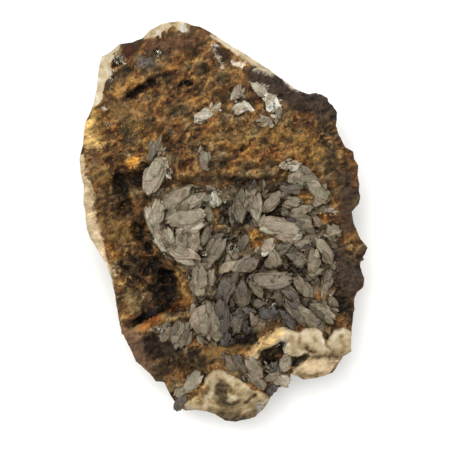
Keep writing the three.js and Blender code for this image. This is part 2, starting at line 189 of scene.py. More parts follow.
def new_piece(name, points_mm, faces, material, smooth=True):
    """A mesh object from points in millimetres."""
    mesh = bpy.data.meshes.new(name)
    mesh.from_pydata((points_mm * MM).tolist(), [], faces)
    mesh.update()
    mesh.polygons.foreach_set("use_smooth", np.full(len(faces), smooth))
    mesh.materials.append(material)
    piece = bpy.data.objects.new(name, mesh)
    bpy.context.scene.collection.objects.link(piece)
    return piece


def write_numbers(piece, name, values):
    """Keeps one number, or one vector, for each point of a piece, for its material to read."""
    kind, field = ("FLOAT", "value") if values.ndim == 1 else ("FLOAT_VECTOR", "vector")
    attribute = piece.data.attributes.new(name, kind, "POINT")
    attribute.data.foreach_set(field, values.astype(np.float32).ravel())


def declare(piece, node_group):
    """The piece rides on the specimen and stands for the CAD nodes whose names start in the same way."""
    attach(piece, "root")
    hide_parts(*[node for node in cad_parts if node.startswith(node_group)])


# %% [markdown]
# ## The rock's main shape
#
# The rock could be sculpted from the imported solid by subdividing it, but its long thin triangles would
# show. It is laid again as an even grid with cells of 0.3 to 0.5 mm: a square of cells bent to the outline,
# so that they stay even out to the rim. Rays cast down at the solid give each point its height, and a blur
# takes the solid's facets out.

# %% Rays at the CAD solid
ABOVE = 100  # where rays start that are cast down at the specimen, mm
DOWN = Vector((0, 0, -1))
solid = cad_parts["matrix"].data
solid_points = [vertex.co / MM for vertex in solid.vertices]
rock_tree = BVHTree.FromPolygons(solid_points, [polygon.vertices[:] for polygon in solid.polygons])


def cad_height(x, y):
    """Height of the rock's CAD solid at a place, or None outside it."""
    hit = rock_tree.ray_cast(Vector((x, y, ABOVE)), DOWN)[0]
    return hit.z if hit else None


def cad_reach(angle):
    """How far the CAD rock reaches in a direction, seen from above, found by halving."""
    low, high = 20.0, 70.0  # every part of the outline lies between these, mm
    for _ in range(14):
        middle = (low + high) / 2
        outside = cad_height(middle * math.cos(angle), middle * math.sin(angle)) is None
        low, high = (low, middle) if outside else (middle, high)
    return low


def height_inside(x, y):
    """Height of the CAD rock, drawn in a little where the place is just past its edge."""
    for pull in (0.998, 0.99, 0.975, 0.95, 0.9):
        height = cad_height(x * pull, y * pull)
        if height is not None:
            return height
    return 20.0


print("CAD rock's faces:", len(solid.polygons), "height in the middle, mm:", round(cad_height(0, 0), 1))

# %% Rock grid on the CAD solid
CELLS = 240  # cells across the top
DIRECTIONS = 1440  # directions in which the outline is measured
CHIPPED = 0.55  # how far the edge is chipped in and out, mm
DRAWN_IN = 0.15  # how far it is drawn in, so that the chips stay inside the CAD box, mm


def square_to_disc(u, v):
    """The square's points moved to the disc: share of the way out, and angle."""
    wide = np.abs(u) > np.abs(v)
    share = np.where(wide, u, v)
    safe_u = np.where(wide & (u != 0), u, 1)
    safe_v = np.where(~wide & (v != 0), v, 1)
    angle = math.pi / 4 * np.where(wide, v / safe_u, 2 - u / safe_v)
    return np.abs(share), np.where(share < 0, angle + math.pi, angle)


angles = np.linspace(-math.pi, math.pi, DIRECTIONS, endpoint=False)
reach = np.array([cad_reach(angle) for angle in angles])
edge_points = np.stack([reach * np.cos(angles), reach * np.sin(angles), np.zeros(DIRECTIONS)], axis=-1)
reach = reach + CHIPPED * octaves(edge_points, 4.0, 4, seed=5) - DRAWN_IN

line = np.linspace(-1, 1, CELLS + 1)
u, v = np.meshgrid(line, line)
share, angle = square_to_disc(u.ravel(), v.ravel())
angle = (angle + math.pi) % (2 * math.pi) - math.pi
edge = np.interp(angle, np.append(angles, math.pi), np.append(reach, reach[0]))
top_x = share * edge * np.cos(angle)
top_y = share * edge * np.sin(angle)


def as_grid(values):
    """The top's values as rows and columns of its grid."""
    return values.reshape(CELLS + 1, CELLS + 1)


def blurred(field, times):
    """The field averaged with its neighbours, a number of times."""
    for _ in range(times):
        padded = np.pad(field, 1, mode="edge")
        field = (padded[:-2, 1:-1] + padded[2:, 1:-1] + padded[1:-1, :-2] + padded[1:-1, 2:] + 4 * field) / 8
    return field


base = as_grid(np.array([height_inside(x, y) for x, y in zip(top_x, top_y)]))
base = blurred(base, 40).ravel()
print("rock grid points:", len(base), "height, mm:", base.min().round(1), "to", base.max().round(1))

# %% [markdown]
# ## The two rocks and their marks
#
# The specimen broke out of a cream carbonate rock. Iron-rich water turned most of it to brown limonite and
# left the cream rock as a rind on the left and the top, and as two broken lobes at the near end. Noise
# alone could colour it, but each bay and ledge has its place, so where the cream rock shows is drawn as
# closed lines. How far a point lies inside one gives both the colour and the step up to its edge.

# %% Rind outlines, mm
# for each: how high it stands, how deeply it is eaten into brown basins, how much paler it is, and the line
RINDS = {
    "left": (0.5, 0.2, 0.3, [
        (-45, 19), (-37.6, 19), (-37.2, 16), (-36.9, 13), (-36, 11.5), (-35.4, 9.5), (-35.6, 6.5), (-36, 4),
        (-35.6, 2), (-34.3, 0), (-33.4, -3), (-32.2, -5.5), (-31.6, -8), (-30.8, -10.5), (-30.6, -14),
        (-30.2, -18), (-45, -18),
    ]),
    "upper_left": (0.0, 0.3, 0.7, [
        (-36, 30), (-33.8, 31.5), (-32.4, 34), (-31.4, 38), (-30.6, 41), (-30.4, 43.6), (-29.6, 46),
        (-27.6, 48.4), (-40, 54), (-42, 38),
    ]),
    "top": (0.0, 0.5, 0.5, [
        (-21.8, 49.2), (-19.4, 49.4), (-17, 50), (-15.6, 51.4), (-14, 53.2), (-12.4, 51.4), (-9.6, 51.2),
        (-8.8, 53.2), (-6, 53.8), (-6, 60), (-25, 60),
    ]),
    "upper_right": (0.0, 0.4, 0.6, [
        (-4.5, 50.6), (-1, 47.8), (2, 45.7), (5, 43.8), (8, 41.8), (14, 39.4), (17, 44), (-2, 58),
    ]),
    "right_lobe": (2.0, 0.12, 0.05, [
        (6.2, -36.8), (7.5, -34.8), (9.6, -32.6), (11.8, -30), (13.8, -28.1), (15.8, -27.2), (17.6, -28),
        (19.7, -28.9), (21.6, -28), (23.8, -27.8), (25.9, -28.9), (26.4, -30.5), (28, -31), (29.2, -28.3),
        (31.9, -28), (36, -29.5), (38, -35), (31.5, -36.2), (25, -35.6), (20.8, -35.6), (18.6, -35.8),
        (16.4, -35.2), (15.7, -34.8), (16.1, -33.6), (15.9, -32.6), (15, -31.8), (13.2, -32), (11, -34.2),
        (9, -36.6),
    ]),
    "lower_right": (1.4, 0.05, 0.0, [
        (19.2, -37.8), (21.2, -35.8), (25, -35.2), (30, -35.6), (33, -35.6), (35, -43), (20, -46),
        (18, -41),
    ]),
    "left_lobe": (1.6, 0.25, 0.0, [
        (-5.4, -41.3), (-3.5, -39.7), (-0.8, -39.2), (0.3, -40.2), (2.7, -41.3), (5.4, -42.7), (6.8, -44.6),
        (8.9, -45.4), (11.3, -46.2), (14, -48), (12, -58), (-4, -58), (-16, -55), (-13.5, -50),
        (-10, -48.5), (-7, -46), (-6, -43.5),
    ]),
}
# the hollow that the crystals line
HOLLOW = [
    (-21, 4), (-19, 9), (-10, 11), (-2, 9), (3, 11), (14, 11), (20, 15), (26, 12), (28, 7), (26, 2),
    (31, -2), (31, -10), (28, -16), (31, -24), (26, -28), (15, -25), (9, -29), (4, -31), (-2, -34),
    (-9, -31), (-9, -20), (-10.5, -11), (-15.5, -9.5), (-21, -3),
]
print("outlines:", len(RINDS) + 1)

# %% [markdown]
# ## Hollows, knobs and stains
#
# Pits, ridges and stains are where the rock really has them, so each is a stroke, as from a brush: two ends
# and a half width, then how far it stands up or sinks, and how much brighter or darker the iron is there.
# Stains of another mineral are strokes too, each with its share and its mineral.

# %% Strokes, patches and dust, mm
# x1, y1, x2, y2, half width, height, iron
STROKES = [
    # hollows: sunk, and their iron lowered so that they are darker: partly oxide, partly painted shade
    (-25.4, 34.6, -20, 37.8, 1.0, -2.6, -1.0), (-20, 37.8, -15, 40.4, 0.7, -1.2, -0.15),
    (-11, 37.7, -9.8, 37.4, 1.1, -2.6, -0.9), (-7, 42.4, -5.4, 41.6, 1.1, -1.6, -0.5),
    # the first below, along the foot of the ledge, is a painted shadow as well as a step down
    (2, 11.6, 20, 12, 0.9, -1.2, -0.25), (-29, 12, -23, 12.5, 2.2, -2.8, -0.8),
    (-28.5, 9, -27.5, 5, 2.2, -2.4, -0.7), (-24, -1.2, -24, -2.2, 1.9, -3.0, -1.0),
    (-23.5, -2.5, -21, -6, 1.2, -2.0, -0.7), (-26, -11, -14, -11, 2.4, -1.2, -0.3),
    (-20, -11, -16, -15, 2.6, -2.2, -0.45), (-16.4, -15, -14.6, -21, 2.6, -3.4, -1.1),
    (-26.5, -27.4, -23, -25.6, 0.9, -1.4, -0.7), (-23, -25.6, -17, -23.4, 1.1, -1.6, -0.7),
    (-20, -32, -19.5, -36, 1.8, -2.4, -0.8), (11.4, -35, 14, -39, 2.4, -3.4, -0.6),
    (15.4, -32.2, 15.4, -34, 1.2, -2.6, -1.0), (31, -20, 32, -22, 2.0, -1.4, -0.6),
    (24, -35.5, 30.5, -35.8, 0.7, -0.4, -0.25), (27.2, -29.4, 28, -32.8, 0.6, -1.1, -0.8),
    (20, -28.8, 19.8, -31.6, 0.4, -0.6, -0.3), (21.8, -32.8, 23.4, -34.2, 0.6, -1.0, -0.6),
    # the first below, left of the lower block, is a painted shadow
    (21.4, -35.9, 19.2, -38.2, 1.0, -1.5, -1.7), (29.4, -38.8, 30.4, -40.4, 0.8, -0.4, -0.4),
    (31.4, -29.6, 32.4, -33, 0.5, -0.4, -0.2), (29, -33.8, 31.6, -34.4, 0.7, -0.4, -0.35),
    (23.6, -28.4, 24.4, -31.6, 0.4, -0.4, -0.25), (19.8, -40.6, 25, -41.8, 0.5, -0.5, -0.25),
    # the left lobe's basin and creases
    (-1, -43.6, -0.4, -48.4, 1.5, -1.3, -0.9), (0.6, -43.8, 2, -45.2, 0.7, -0.6, -0.3),
    (0.8, -49.2, 3.6, -48.8, 0.8, -0.6, -0.35), (-5.4, -44.4, -7.6, -47.2, 0.9, -0.9, -0.3),
    # the second below, in the corner beside the near crystals, is painted shade
    (8.5, -46.5, 5.9, -48.6, 0.5, -0.8, -0.6), (12.4, -46.4, 14, -44.6, 1.3, -0.6, -1.2),
    (1, -31, 6.8, -30.8, 1.9, -1.6, -1.0), (-28.6, -10.4, -26.6, -11.8, 0.7, -1.2, -0.6),
    (-26.4, -8.2, -24.4, -9.4, 0.6, -1.0, -0.3), (-22.2, -12.4, -21, -13.4, 0.7, -1.2, -0.6),
    (-25, -13.6, -22.6, -14.8, 0.5, -0.8, -0.5), (-20, -17.6, -18, -22, 1.2, -1.0, -0.5),
    (-25.8, -27.6, -22.2, -25.3, 0.7, -1.6, -0.9),
    # knobs and ridges
    (-29.2, -12.6, -25.6, -14.4, 0.5, 1.0, 0.35), (-25.6, -14.4, -22.8, -16.2, 0.5, 1.0, 0.3),
    (-28.6, -15.8, -23.4, -16.8, 0.5, 0.8, 0.3), (-21.2, -12.8, -20, -15.8, 0.8, 1.2, 0.5),
    (-17.4, -16.4, -15.2, -15.8, 0.9, 1.6, 0.9), (-22.4, -9.8, -18.4, -10.6, 0.5, 0.8, 0.3),
    (-26.4, -10.2, -24.6, -10.6, 0.6, 0.8, 0.5), (-33.9, 13.3, -33.1, 13.2, 2.7, 1.8, -0.1),
    (30.5, -11, 34, -9, 1.8, 1.4, -0.3), (-25.6, 46.6, -25, 46.8, 1.9, 1.5, -0.4),
    (33.5, -16, 35, -15, 3.0, 1.8, -0.4), (-23.4, -28.2, -17.6, -25.2, 1.1, 1.2, 0.4),
    (-17.6, -25.2, -10, -24.6, 1.0, 1.2, 0.6), (1.7, -46.9, 2.2, -47.1, 1.1, 1.3, 0.35),
    (-3.1, -43.2, -3.9, -46, 0.8, 1.2, 0.15), (-3.9, -46, -5.8, -49.2, 0.8, 1.0, 0.1),
    (-10, -50, -5, -50.2, 0.8, 0.5, 0.2), (-1, -51.8, 4, -52.6, 1.8, 0.6, -0.6),
    (25.2, -29.8, 27.6, -33.4, 0.6, 0.8, 0.3), (19.2, -33, 20.8, -35.2, 0.8, 0.7, 0.1),
    (15.2, -30.9, 16.5, -31.8, 0.4, 0.4, 0.5), (16.5, -31.8, 16.5, -34.2, 0.45, 0.4, 0.6),
    (16.5, -34.2, 15.9, -35, 0.4, 0.3, 0.5), (19, -27.9, 21.6, -28.1, 0.5, 0.3, 0.2),
    (29.4, -28.6, 32, -28.4, 0.4, 0.3, 0.2),
    # rusty and ochre patches, and pale and dark bands, with no height of their own
    (-15, 48, -12.5, 47.6, 2.0, 0, -0.5), (-27.6, 35.6, -25.4, 38, 1.5, 0, 0.6),
    (-29.5, 32, -17.5, 32, 1.6, 0, 0.4), (-1, 33, -0.5, 27, 1.5, 0, -0.4),
    (12, 37.8, 15, 36.2, 1.6, 0, -0.7), (-27, 25, -25, 23, 1.8, 0, -0.4), (1, 20, 15, 20, 1.8, 0, 0.4),
    (-3, 15, -1, 16, 1.7, 0, -0.4), (-31, -6.5, -29.6, -9.5, 1.5, 0, 0.45),
    (-15, -24, -12.4, -23.6, 1.4, 0, -0.6), (-20, -29.5, -16, -28.4, 1.2, 0, -0.5),
    (-23.4, -31.4, -21.6, -32.4, 1.3, 0, 0.4), (-15, -36, -5.4, -36.2, 2.4, 0, -0.9),
    (-7, 12.6, 2, 12, 1.3, -0.4, -0.5), (-26.4, -3, -25.2, -5, 1.5, 0, -0.5),
    (31, -23, 34, -24.6, 1.8, 0, -0.5), (-10.6, 32.4, -8, 32.6, 1.5, 0, 0.4),
    (-14.6, -32, -13, -33, 1.5, 0, -0.4), (9, -47, 11, -48.6, 1.3, 0, -0.4),
    (-5.2, -41.6, 0, -40.4, 0.9, 0.4, -0.3), (0, -40.6, 6.2, -43.8, 0.8, 0.4, 0.15),
    (6.2, -43.8, 11.4, -46.4, 0.7, 0.4, 0.1), (-2.6, -11.4, -1.4, -14.6, 0.9, 0, 0.35),
    (-10, -47.6, -5, -46.6, 1.2, 0, -0.1), (-25, 17, -24.6, 17, 2.3, 0, 0.9),
    (16, 25.5, 21, 25, 1.6, 0, 0.15), (7, 22, 8, 22, 2.0, 0, 0.45), (4, 39, 6, 39, 2.0, 0, 0.4),
    (18, 18.5, 19, 18.5, 1.8, 0, 0.4), (-9, 33, -8, 33, 2.0, 0, 0.4), (-4, 26.5, -3, 26.5, 2.0, 0, 0.35),
    (-15, -10, -9.5, -20, 1.2, 0, 0.7), (-12.4, -21.5, -10, -21, 1.4, 0, 0.5),
    (-26, -21, -25.5, -21.5, 2.2, 0, 0.45), (-15, -38, -14.5, -38, 2.0, 0, 0.35),
    (31.5, -25.5, 32, -26, 1.8, 0, 0.2), (7.4, -3, 9, -4.4, 2.3, 0, 0.8),
    (25, -11, 25.5, -20, 1.3, 0, 0.45), (-3, -34, 5, -36, 1.6, 0, 0.4), (21, 7.8, 22.4, 6.8, 2.1, 0, 0.6),
    (31, 4.5, 31.4, 5, 2.0, 0, 0.5), (26, 2, 26.5, 1.6, 1.4, 0, 0.6), (12, -3.4, 15, -3.8, 1.0, 0, 0.7),
    (-2.6, 4, -2.2, -0.5, 1.1, 0, 0.6), (8, 40, 28, 31, 2.6, 0, -0.5), (-24, 28, -19, 30, 2.4, 0, -0.3),
    (29, -14, 34, -13, 4.0, 0, -0.5), (33, 8, 34, 14, 2.4, 0, -0.2), (-24, -12, -18, -22, 6.0, 0, -0.25),
    (-22, -33, -19, -40, 4.0, 0, -0.3), (30, 15, 24, 24, 4.0, 0, -0.2), (-18, 46, -26, 42, 4.0, 0, -0.2),
]
# the minerals that weathering has left on the rock: the colour of each, and how smooth it is
MINERALS = {
    "umber": ("#5c402b", 0.5), "red_umber": ("#6b513b", 0.6), "dark_umber": ("#3a2d25", 0.6),
    "goethite": ("#3c2f25", 0.35), "tan_limonite": ("#70552f", 0.4), "ochre": ("#b58c52", 0.1),
    "orange_ochre": ("#c98832", 0.2), "grey_film": ("#5f5b55", 0.4), "olive_ochre": ("#65563a", 0.2),
    "yellow_olive": ("#7b6844", 0.2), "red_goethite": ("#371a0e", 0.9), "pale_rind": ("#d3c5ac", 0.1),
    "golden_limonite": ("#81602f", 0.1), "yellow_ochre": ("#b99a66", 0.1), "tan_rock": ("#c0a682", 0.1),
    "orange_limonite": ("#8f5527", 0.1), "grey_rock": ("#8d8a84", 0.3), "smooth_rock": ("#c2aa86", 1.0),
    "straw_ochre": ("#d0ac69", 0.2),
}
# x1, y1, x2, y2, half width, share, mineral
PATCHES = [
    (-20, 48, -9, 49.2, 1.8, 0.8, "umber"), (-7, 50.6, -4, 52.4, 1.2, 0.7, "umber"),
    (-22, 43.3, -20.4, 43.3, 1.7, 0.7, "grey_film"), (-25.6, 46.6, -25, 46.8, 1.9, 1.0, "red_goethite"),
    (-26.4, -30.6, -22.4, -38, 4.0, 0.85, "red_umber"), (-32, 0, -27, -2.5, 3.6, 0.8, "tan_limonite"),
    (30.5, -10, 34, -17, 4.6, 0.8, "goethite"), (9, 38.5, 27, 31.5, 4.4, 0.75, "goethite"),
    (33, 12, 33.5, 0, 3.2, 0.65, "goethite"), (-36, 28.6, -35.2, 22, 2.9, 1.0, "straw_ochre"),
    (-35.4, 20.4, -34.4, 17.4, 1.4, 0.6, "umber"), (-24.7, 17, -24.5, 17, 1.2, 1.0, "orange_ochre"),
    (-25.8, -19.6, -25, -22.8, 1.9, 0.75, "yellow_olive"),
    (-20.4, -33.4, -17, -34, 2.6, 0.85, "dark_umber"), (-29, 30, -26, 29, 2.8, 0.6, "tan_limonite"),
    (-12, -20.4, -9.5, -22, 2.4, 0.6, "tan_limonite"), (-4, -34.5, 2, -35.6, 2.6, 0.7, "tan_limonite"),
    (-34.4, 13.2, -32.8, 13.2, 2.3, 0.7, "tan_limonite"), (-9.4, -46.5, -6.6, -44.5, 2.2, 0.7, "ochre"),
    (6.4, -36.4, 9.5, -32.4, 1.1, 0.8, "yellow_ochre"), (9.8, -33, 14.6, -29, 1.6, 0.75, "yellow_ochre"),
    (-34.8, 30, -33.4, 24, 1.6, 0.6, "golden_limonite"), (12, 25.5, 24, 19, 3.4, 0.5, "golden_limonite"),
    (-5, 23, 6, 23, 3.2, 0.4, "golden_limonite"), (-23, 26, -20, 22, 3.0, 0.4, "golden_limonite"),
    (-1.5, -43.5, 0.5, -50, 2.8, 0.55, "olive_ochre"), (6.5, -46.5, 9.5, -51, 1.8, 0.45, "olive_ochre"),
    (-14, -50, -9.5, -49.8, 1.8, 0.5, "grey_film"), (18, -31.4, 20.5, -33.2, 1.2, 0.4, "olive_ochre"),
    (-3.4, 46.6, -2.4, 44.6, 0.7, 0.5, "pale_rind"), (-1.8, 44, -1.0, 42.4, 0.6, 0.5, "pale_rind"),
    (-28.4, 45, -26.6, 43.4, 0.6, 0.5, "pale_rind"), (2.6, 43.4, 4.4, 42.6, 0.8, 0.6, "pale_rind"),
    (8, 42, 12, 40.4, 0.7, 0.5, "pale_rind"), (16, 38.6, 19.6, 36.2, 0.6, 0.6, "pale_rind"),
    (-22.8, -27.8, -17.6, -25.1, 1.0, 0.75, "orange_limonite"),
    (-14.4, -22.8, -10.8, -21, 1.8, 0.35, "orange_limonite"),
    (-11, -48.4, -6, -47, 1.4, 0.35, "yellow_ochre"), (-37.6, 16, -36, 3, 1.0, 0.5, "tan_rock"),
    (-36, 3, -30.8, -13, 1.2, 0.6, "tan_rock"), (10.6, -48.4, 9.6, -52, 1.0, 0.7, "grey_rock"),
    (23, -38.8, 28.2, -38.2, 2.2, 1.0, "smooth_rock"), (15.4, -30.9, 16.7, -31.9, 0.5, 1.0, "pale_rind"),
    (16.7, -31.9, 16.6, -34.6, 0.5, 1.0, "pale_rind"),
]
# x, y, radius, strength of a dusting of white quartz
DUSTED = [
    (-31, 41, 1.8, 0.55), (-30.6, 38, 1.4, 0.4), (-18, 51.2, 1.6, 0.5), (-10.8, 52.2, 1.5, 0.9),
    (3, 43.4, 1.0, 0.5), (5, 43, 1.0, 0.5), (-3, 47.6, 1.2, 0.5), (-32, 31, 1.2, 0.5),
    (-27.2, 44.6, 1.4, 0.45), (3.6, 35, 2.2, 0.4), (4.2, 31, 2.0, 0.5), (10, 36.5, 2.0, 0.45),
    (12.6, 32.4, 2.4, 0.55), (14.4, -32.2, 0.9, 0.45), (-35, -2, 1.4, 0.4), (-34.5, 0.4, 1.0, 0.4),
]
print("strokes:", len(STROKES), "patches:", len(PATCHES))


# %% Distances from lines
def away_from(x, y, x1, y1, x2, y2):
    """Distance from a straight stretch, in mm."""
    length = max((x2 - x1) ** 2 + (y2 - y1) ** 2, 1e-6)
    along = np.clip(((x - x1) * (x2 - x1) + (y - y1) * (y2 - y1)) / length, 0, 1)
    return np.hypot(x - x1 - along * (x2 - x1), y - y1 - along * (y2 - y1))


def inside(x, y, corners):
    """Distance in from a closed line, in mm: negative outside it."""
    away = np.full(len(x), 1e9)
    within = np.zeros(len(x), bool)
    for (x1, y1), (x2, y2) in zip(corners, corners[1:] + corners[:1]):
        away = np.minimum(away, away_from(x, y, x1, y1, x2, y2))
        crosses = (y1 > y) != (y2 > y)
        if y1 != y2:
            within ^= crosses & (x < (x2 - x1) * (y - y1) / (y2 - y1) + x1)
    return np.where(within, away, -away)


def stroke_share(x, y, x1, y1, x2, y2, half_width):
    """1 along a stroke, falling smoothly to 0 past its half width."""
    return 1 - step(0.25 * half_width, 1.55 * half_width, away_from(x, y, x1, y1, x2, y2))


# %% [markdown]
# ## The rough surface
#
# Limonite is crumbly: rounded grains of 1 to 2 mm, fibres and pores between them, and lumps of about 5 mm,
# drawn out along the rock's streaks. The cream rock is finer, with folds and chips. A bump in the material
# would be lighter work, but shadows are what makes rock look rough, so both are laid on the main shape as
# real heights. Each point keeps what its material has to know: how cream and how rusty it is, whether it
# stands out or lies in a pit, whether the grey crust covers it, what stains it and how smooth that is, and
# how much dust it has.

# %% Marks of the top
def warped(points, amount, size, seed):
    """The points pushed about by noise, so that what is drawn on them isn't regular."""
    push = [noise(points, size, seed + k) for k in range(3)]
    return points + amount * np.stack(push, axis=-1)


def rock_marks(points):
    """What the rock's material reads, for points of the top, and how far they stand off the main shape."""
    x, y = warped(points, 0.7, 3.0, 21)[:, :2].T
    cream, rise, wear, iron, stained, worn, dust = np.zeros((7, len(points)))
    for height, eaten, paler, corners in RINDS.values():
        share = step(-0.5, 0.5, inside(x, y, corners))
        cream = np.maximum(cream, share)
        rise = np.maximum(rise, height * share)
        wear = np.maximum(wear, eaten * share)
        iron += paler * share
    ragged_x, ragged_y = warped(points, 1.1, 1.4, 211)[:, :2].T
    for *place, height, tint in STROKES:
        share = 0.5 * stroke_share(x, y, *place) + 0.5 * stroke_share(ragged_x, ragged_y, *place)
        rise += height * share
        iron += tint * share
    basin = wear * step(-0.12, 0.2, octaves(warped(points, 0.8, 2.0, 171), 3.0, 4, seed=181))
    rise -= 1.3 * basin
    iron -= 0.5 * basin
    stain = np.zeros((len(points), 3))
    for *place, strength, mineral in PATCHES:
        colour, smoothness = MINERALS[mineral]
        share = strength * stroke_share(x, y, *place)
        over = share / np.maximum(np.maximum(stained, share), 1e-6)
        stain += (np.array(linear(colour)[:3]) - stain) * over[:, None]
        stained = np.maximum(stained, share)
        worn = np.maximum(worn, smoothness * share)
    for dusty_x, dusty_y, radius, strength in DUSTED:
        away = np.hypot(x - dusty_x, y - dusty_y)
        dust = np.maximum(dust, strength * (1 - step(0.2 * radius, 1.5 * radius, away)))
    crust = step(-0.8, 0.8, inside(x, y, HOLLOW)) * (1 - step(0.1, 0.4, iron)) * (1 - cream)
    found = {"cream": cream, "iron": iron, "dust": dust, "crust": crust, "worn": worn}
    return found | {"stained": stained, "stain": stain}, rise


# %% Grain of the two rocks
def roughness_height(points, cream, worn):
    """How far the grain of the rock stands off, in mm, and a tone from -1 to 1 for each grain."""
    lumps = 2.2 * octaves(points @ STREAKED, 5.0, 5, seed=31)
    spread = warped(points, 0.9, 2.2, 41) @ STREAKED
    near, second, number = grains(spread, 2.3, seed=51)
    small_near, small_second, small_number = grains(spread, 1.1, seed=61)
    seam = 1 - step(0.0, 0.14, second - near)
    small_seam = 1 - step(0.0, 0.2, small_second - small_near)
    crumb = 0.6 * (0.6 - near) + 0.8 * (number - 0.5) - 0.3 * seam
    crumb += 0.3 * (0.6 - small_near) + 0.6 * (small_number - 0.5) - 0.2 * small_seam
    crumb *= 0.4 + 0.6 * step(-0.35, 0.2, noise(points, 6.0, 71))
    # noise folded over at zero has sharp lines: the limonite's fibres here, the cream rock's folds below
    fibres = 1.5 * (0.5 - 2 * np.abs(octaves(warped(points, 1.0, 4.0, 221) @ STREAKED, 2.4, 4, seed=201)))
    pores = 1.3 * step(0.16, 0.42, octaves(points @ STREAKED, 2.8, 4, seed=81))
    brown = lumps + (crumb + fibres - pores) * (1 - 0.8 * worn)
    folds = 1 - 2 * np.abs(octaves(points, 4.4, 4, seed=191))
    chips = 0.75 * octaves(points, 3.4, 6, seed=101) + 1.2 * (folds - 0.7) + 0.25 * (small_number - 0.5)
    height = (1 - cream) * brown + cream * chips * (1 - 0.75 * worn)
    return height, np.clip(1.1 * (number - 0.5) + 1.1 * (small_number - 0.5), -1, 1)


# %% Heights of the top
CREST = 0.8  # a point that stands this far above what is around it is fully a crest, mm
flat_points = np.stack([top_x, top_y, base], axis=-1)
top, top_rise = rock_marks(flat_points)
top_rough, top["shade"] = roughness_height(flat_points, top["cream"], top["worn"])
top_height = base + top_rise + top_rough
around_it = blurred(as_grid(top_height), 40).ravel()
# crests are coloured lighter and pits darker: partly oxide in the pits, partly painted highlight and shade
top["crest"] = np.clip((top_height - around_it) / CREST, -1, 1)
top_points = np.stack([top_x, top_y, top_height], axis=-1)
print("top height, mm:", top_height.min().round(1), "to", top_height.max().round(1))

# %% [markdown]
# ## Sides and base
#
# The back of such a specimen is where it was broken and trimmed from its bed, and it rests on the trimmed
# flat. One coarse wall would do from above, but low views would show it. The sides are rings that follow
# the CAD solid, by rays cast inward at each level, with the same lumps and grains and with the flat faces
# that rock breaks along. All of it fades to nothing at the base, so that the specimen stands flat.

# %% Side rings
SIDE_LEVELS = 1 - np.linspace(0, 1, 41)[1:] ** 1.2  # shares of the rim's height
FAR = 0.2  # where rays start that are cast in at the side, in metres
index = as_grid(np.arange((CELLS + 1) ** 2))
rim = np.concatenate([index[0, :-1], index[:-1, -1], index[-1, :0:-1], index[:0:-1, 0]])
rim_angle = np.arctan2(top_y[rim], top_x[rim])
rim_reach = np.hypot(top_x[rim], top_y[rim])


def cad_side_reach(level):
    """How far the CAD side reaches at a level, for each point of the rim."""
    found = []
    for angle, outer, height in zip(rim_angle, rim_reach, top_height[rim] * level):
        out = Vector((math.cos(angle), math.sin(angle), 0))
        hit = rock_tree.ray_cast(out * FAR / MM + Vector((0, 0, max(height, 0.05))), -out)[0]
        reached = math.hypot(hit.x, hit.y) if hit else outer
        found.append(min(max(reached, 0.55 * outer), outer))
    return np.array(found)


def ring_blurred(values, times):
    """A ring's values averaged with their neighbours, a number of times."""
    for _ in range(times):
        values = (np.roll(values, 1) + np.roll(values, -1) + 2 * values) / 4
    return values


def side_ring(level):
    """The points of a ring at a share of the rim's height, and their marks."""
    smooth_reach = ring_blurred(cad_side_reach(level), 30)
    out = rim_reach + (np.minimum(smooth_reach, rim_reach) - rim_reach) * step(1.0, 0.8, level)
    ring = np.stack([out * np.cos(rim_angle), out * np.sin(rim_angle), top_height[rim] * level], axis=-1)
    browner = step(-12, 12, ring[:, 0] + 14 * octaves(ring, 14.0, 3, seed=141))
    cream = 1 - browner * step(-0.35, 0.1, octaves(ring, 10.0, 4, seed=131))
    rough, shade = roughness_height(ring, cream, 0.2)
    planes = 6.0 * (0.13 - np.abs(octaves(ring, 13.0, 4, seed=111)))  # the faces that the rock broke along
    below_rim = step(1.0, 0.9, level)
    rough = (0.7 * rough + planes) * step(0, 0.12, level) * below_rim - 0.5 * below_rim
    ring[:, :2] *= (1 + rough / out)[:, None]
    down = step(1.0, 0.82, level + 0.16 * octaves(ring, 4.0, 4, seed=151))  # 0 at the rim, 1 on the side
    own = {"cream": cream, "iron": 0.9 * octaves(ring, 7.0, 5, seed=151), "shade": shade}
    found = {name: top[name][rim] * (1 - down) + own[name] * down for name in own}
    found |= {name: top[name][rim] * (1 - down) for name in ("stained", "dust")}
    return ring, found | {"stain": top["stain"][rim], "crest": np.clip(rough, -1, 1)}


rings = [side_ring(level) for level in SIDE_LEVELS]
# the flat it rests on is sawn through the cream rock
rings += [(rings[-1][0] * [inner, inner, 0], {"cream": np.ones(len(rim))}) for inner in (0.7, 0.35)]
print("rings:", len(rings), "of", len(rim), "points")

# %% The closed rock mesh
rock_points = np.concatenate([top_points, *[ring for ring, _ in rings], np.zeros((1, 3))])
loops = np.concatenate([rim, len(top_points) + np.arange(len(rings) * len(rim))]).reshape(-1, len(rim))
after = np.roll(loops, -1, axis=1)
top_quads = np.stack([index[:-1, :-1], index[:-1, 1:], index[1:, 1:], index[1:, :-1]], axis=-1)
side_quads = np.stack([loops[:-1], loops[1:], after[1:], after[:-1]], axis=-1)
middle = len(rock_points) - 1
rock_faces = top_quads.reshape(-1, 4).tolist() + side_quads.reshape(-1, 4).tolist()
rock_faces += [(a, b, middle) for a, b in zip(after[-1].tolist(), loops[-1].tolist())]


def whole(name, values):
    """A mark of the top, carried on through the rings. Where a ring hasn't got it, it is 0."""
    blank = np.zeros((len(rim),) + values.shape[1:])
    kept = [values] + [found.get(name, blank) for _, found in rings]
    return np.concatenate(kept + [kept[-1][:1]])


marks = {name: whole(name, values) for name, values in top.items()}
print("rock mesh:", len(rock_points), "points,", sum(len(face) - 2 for face in rock_faces), "triangles")
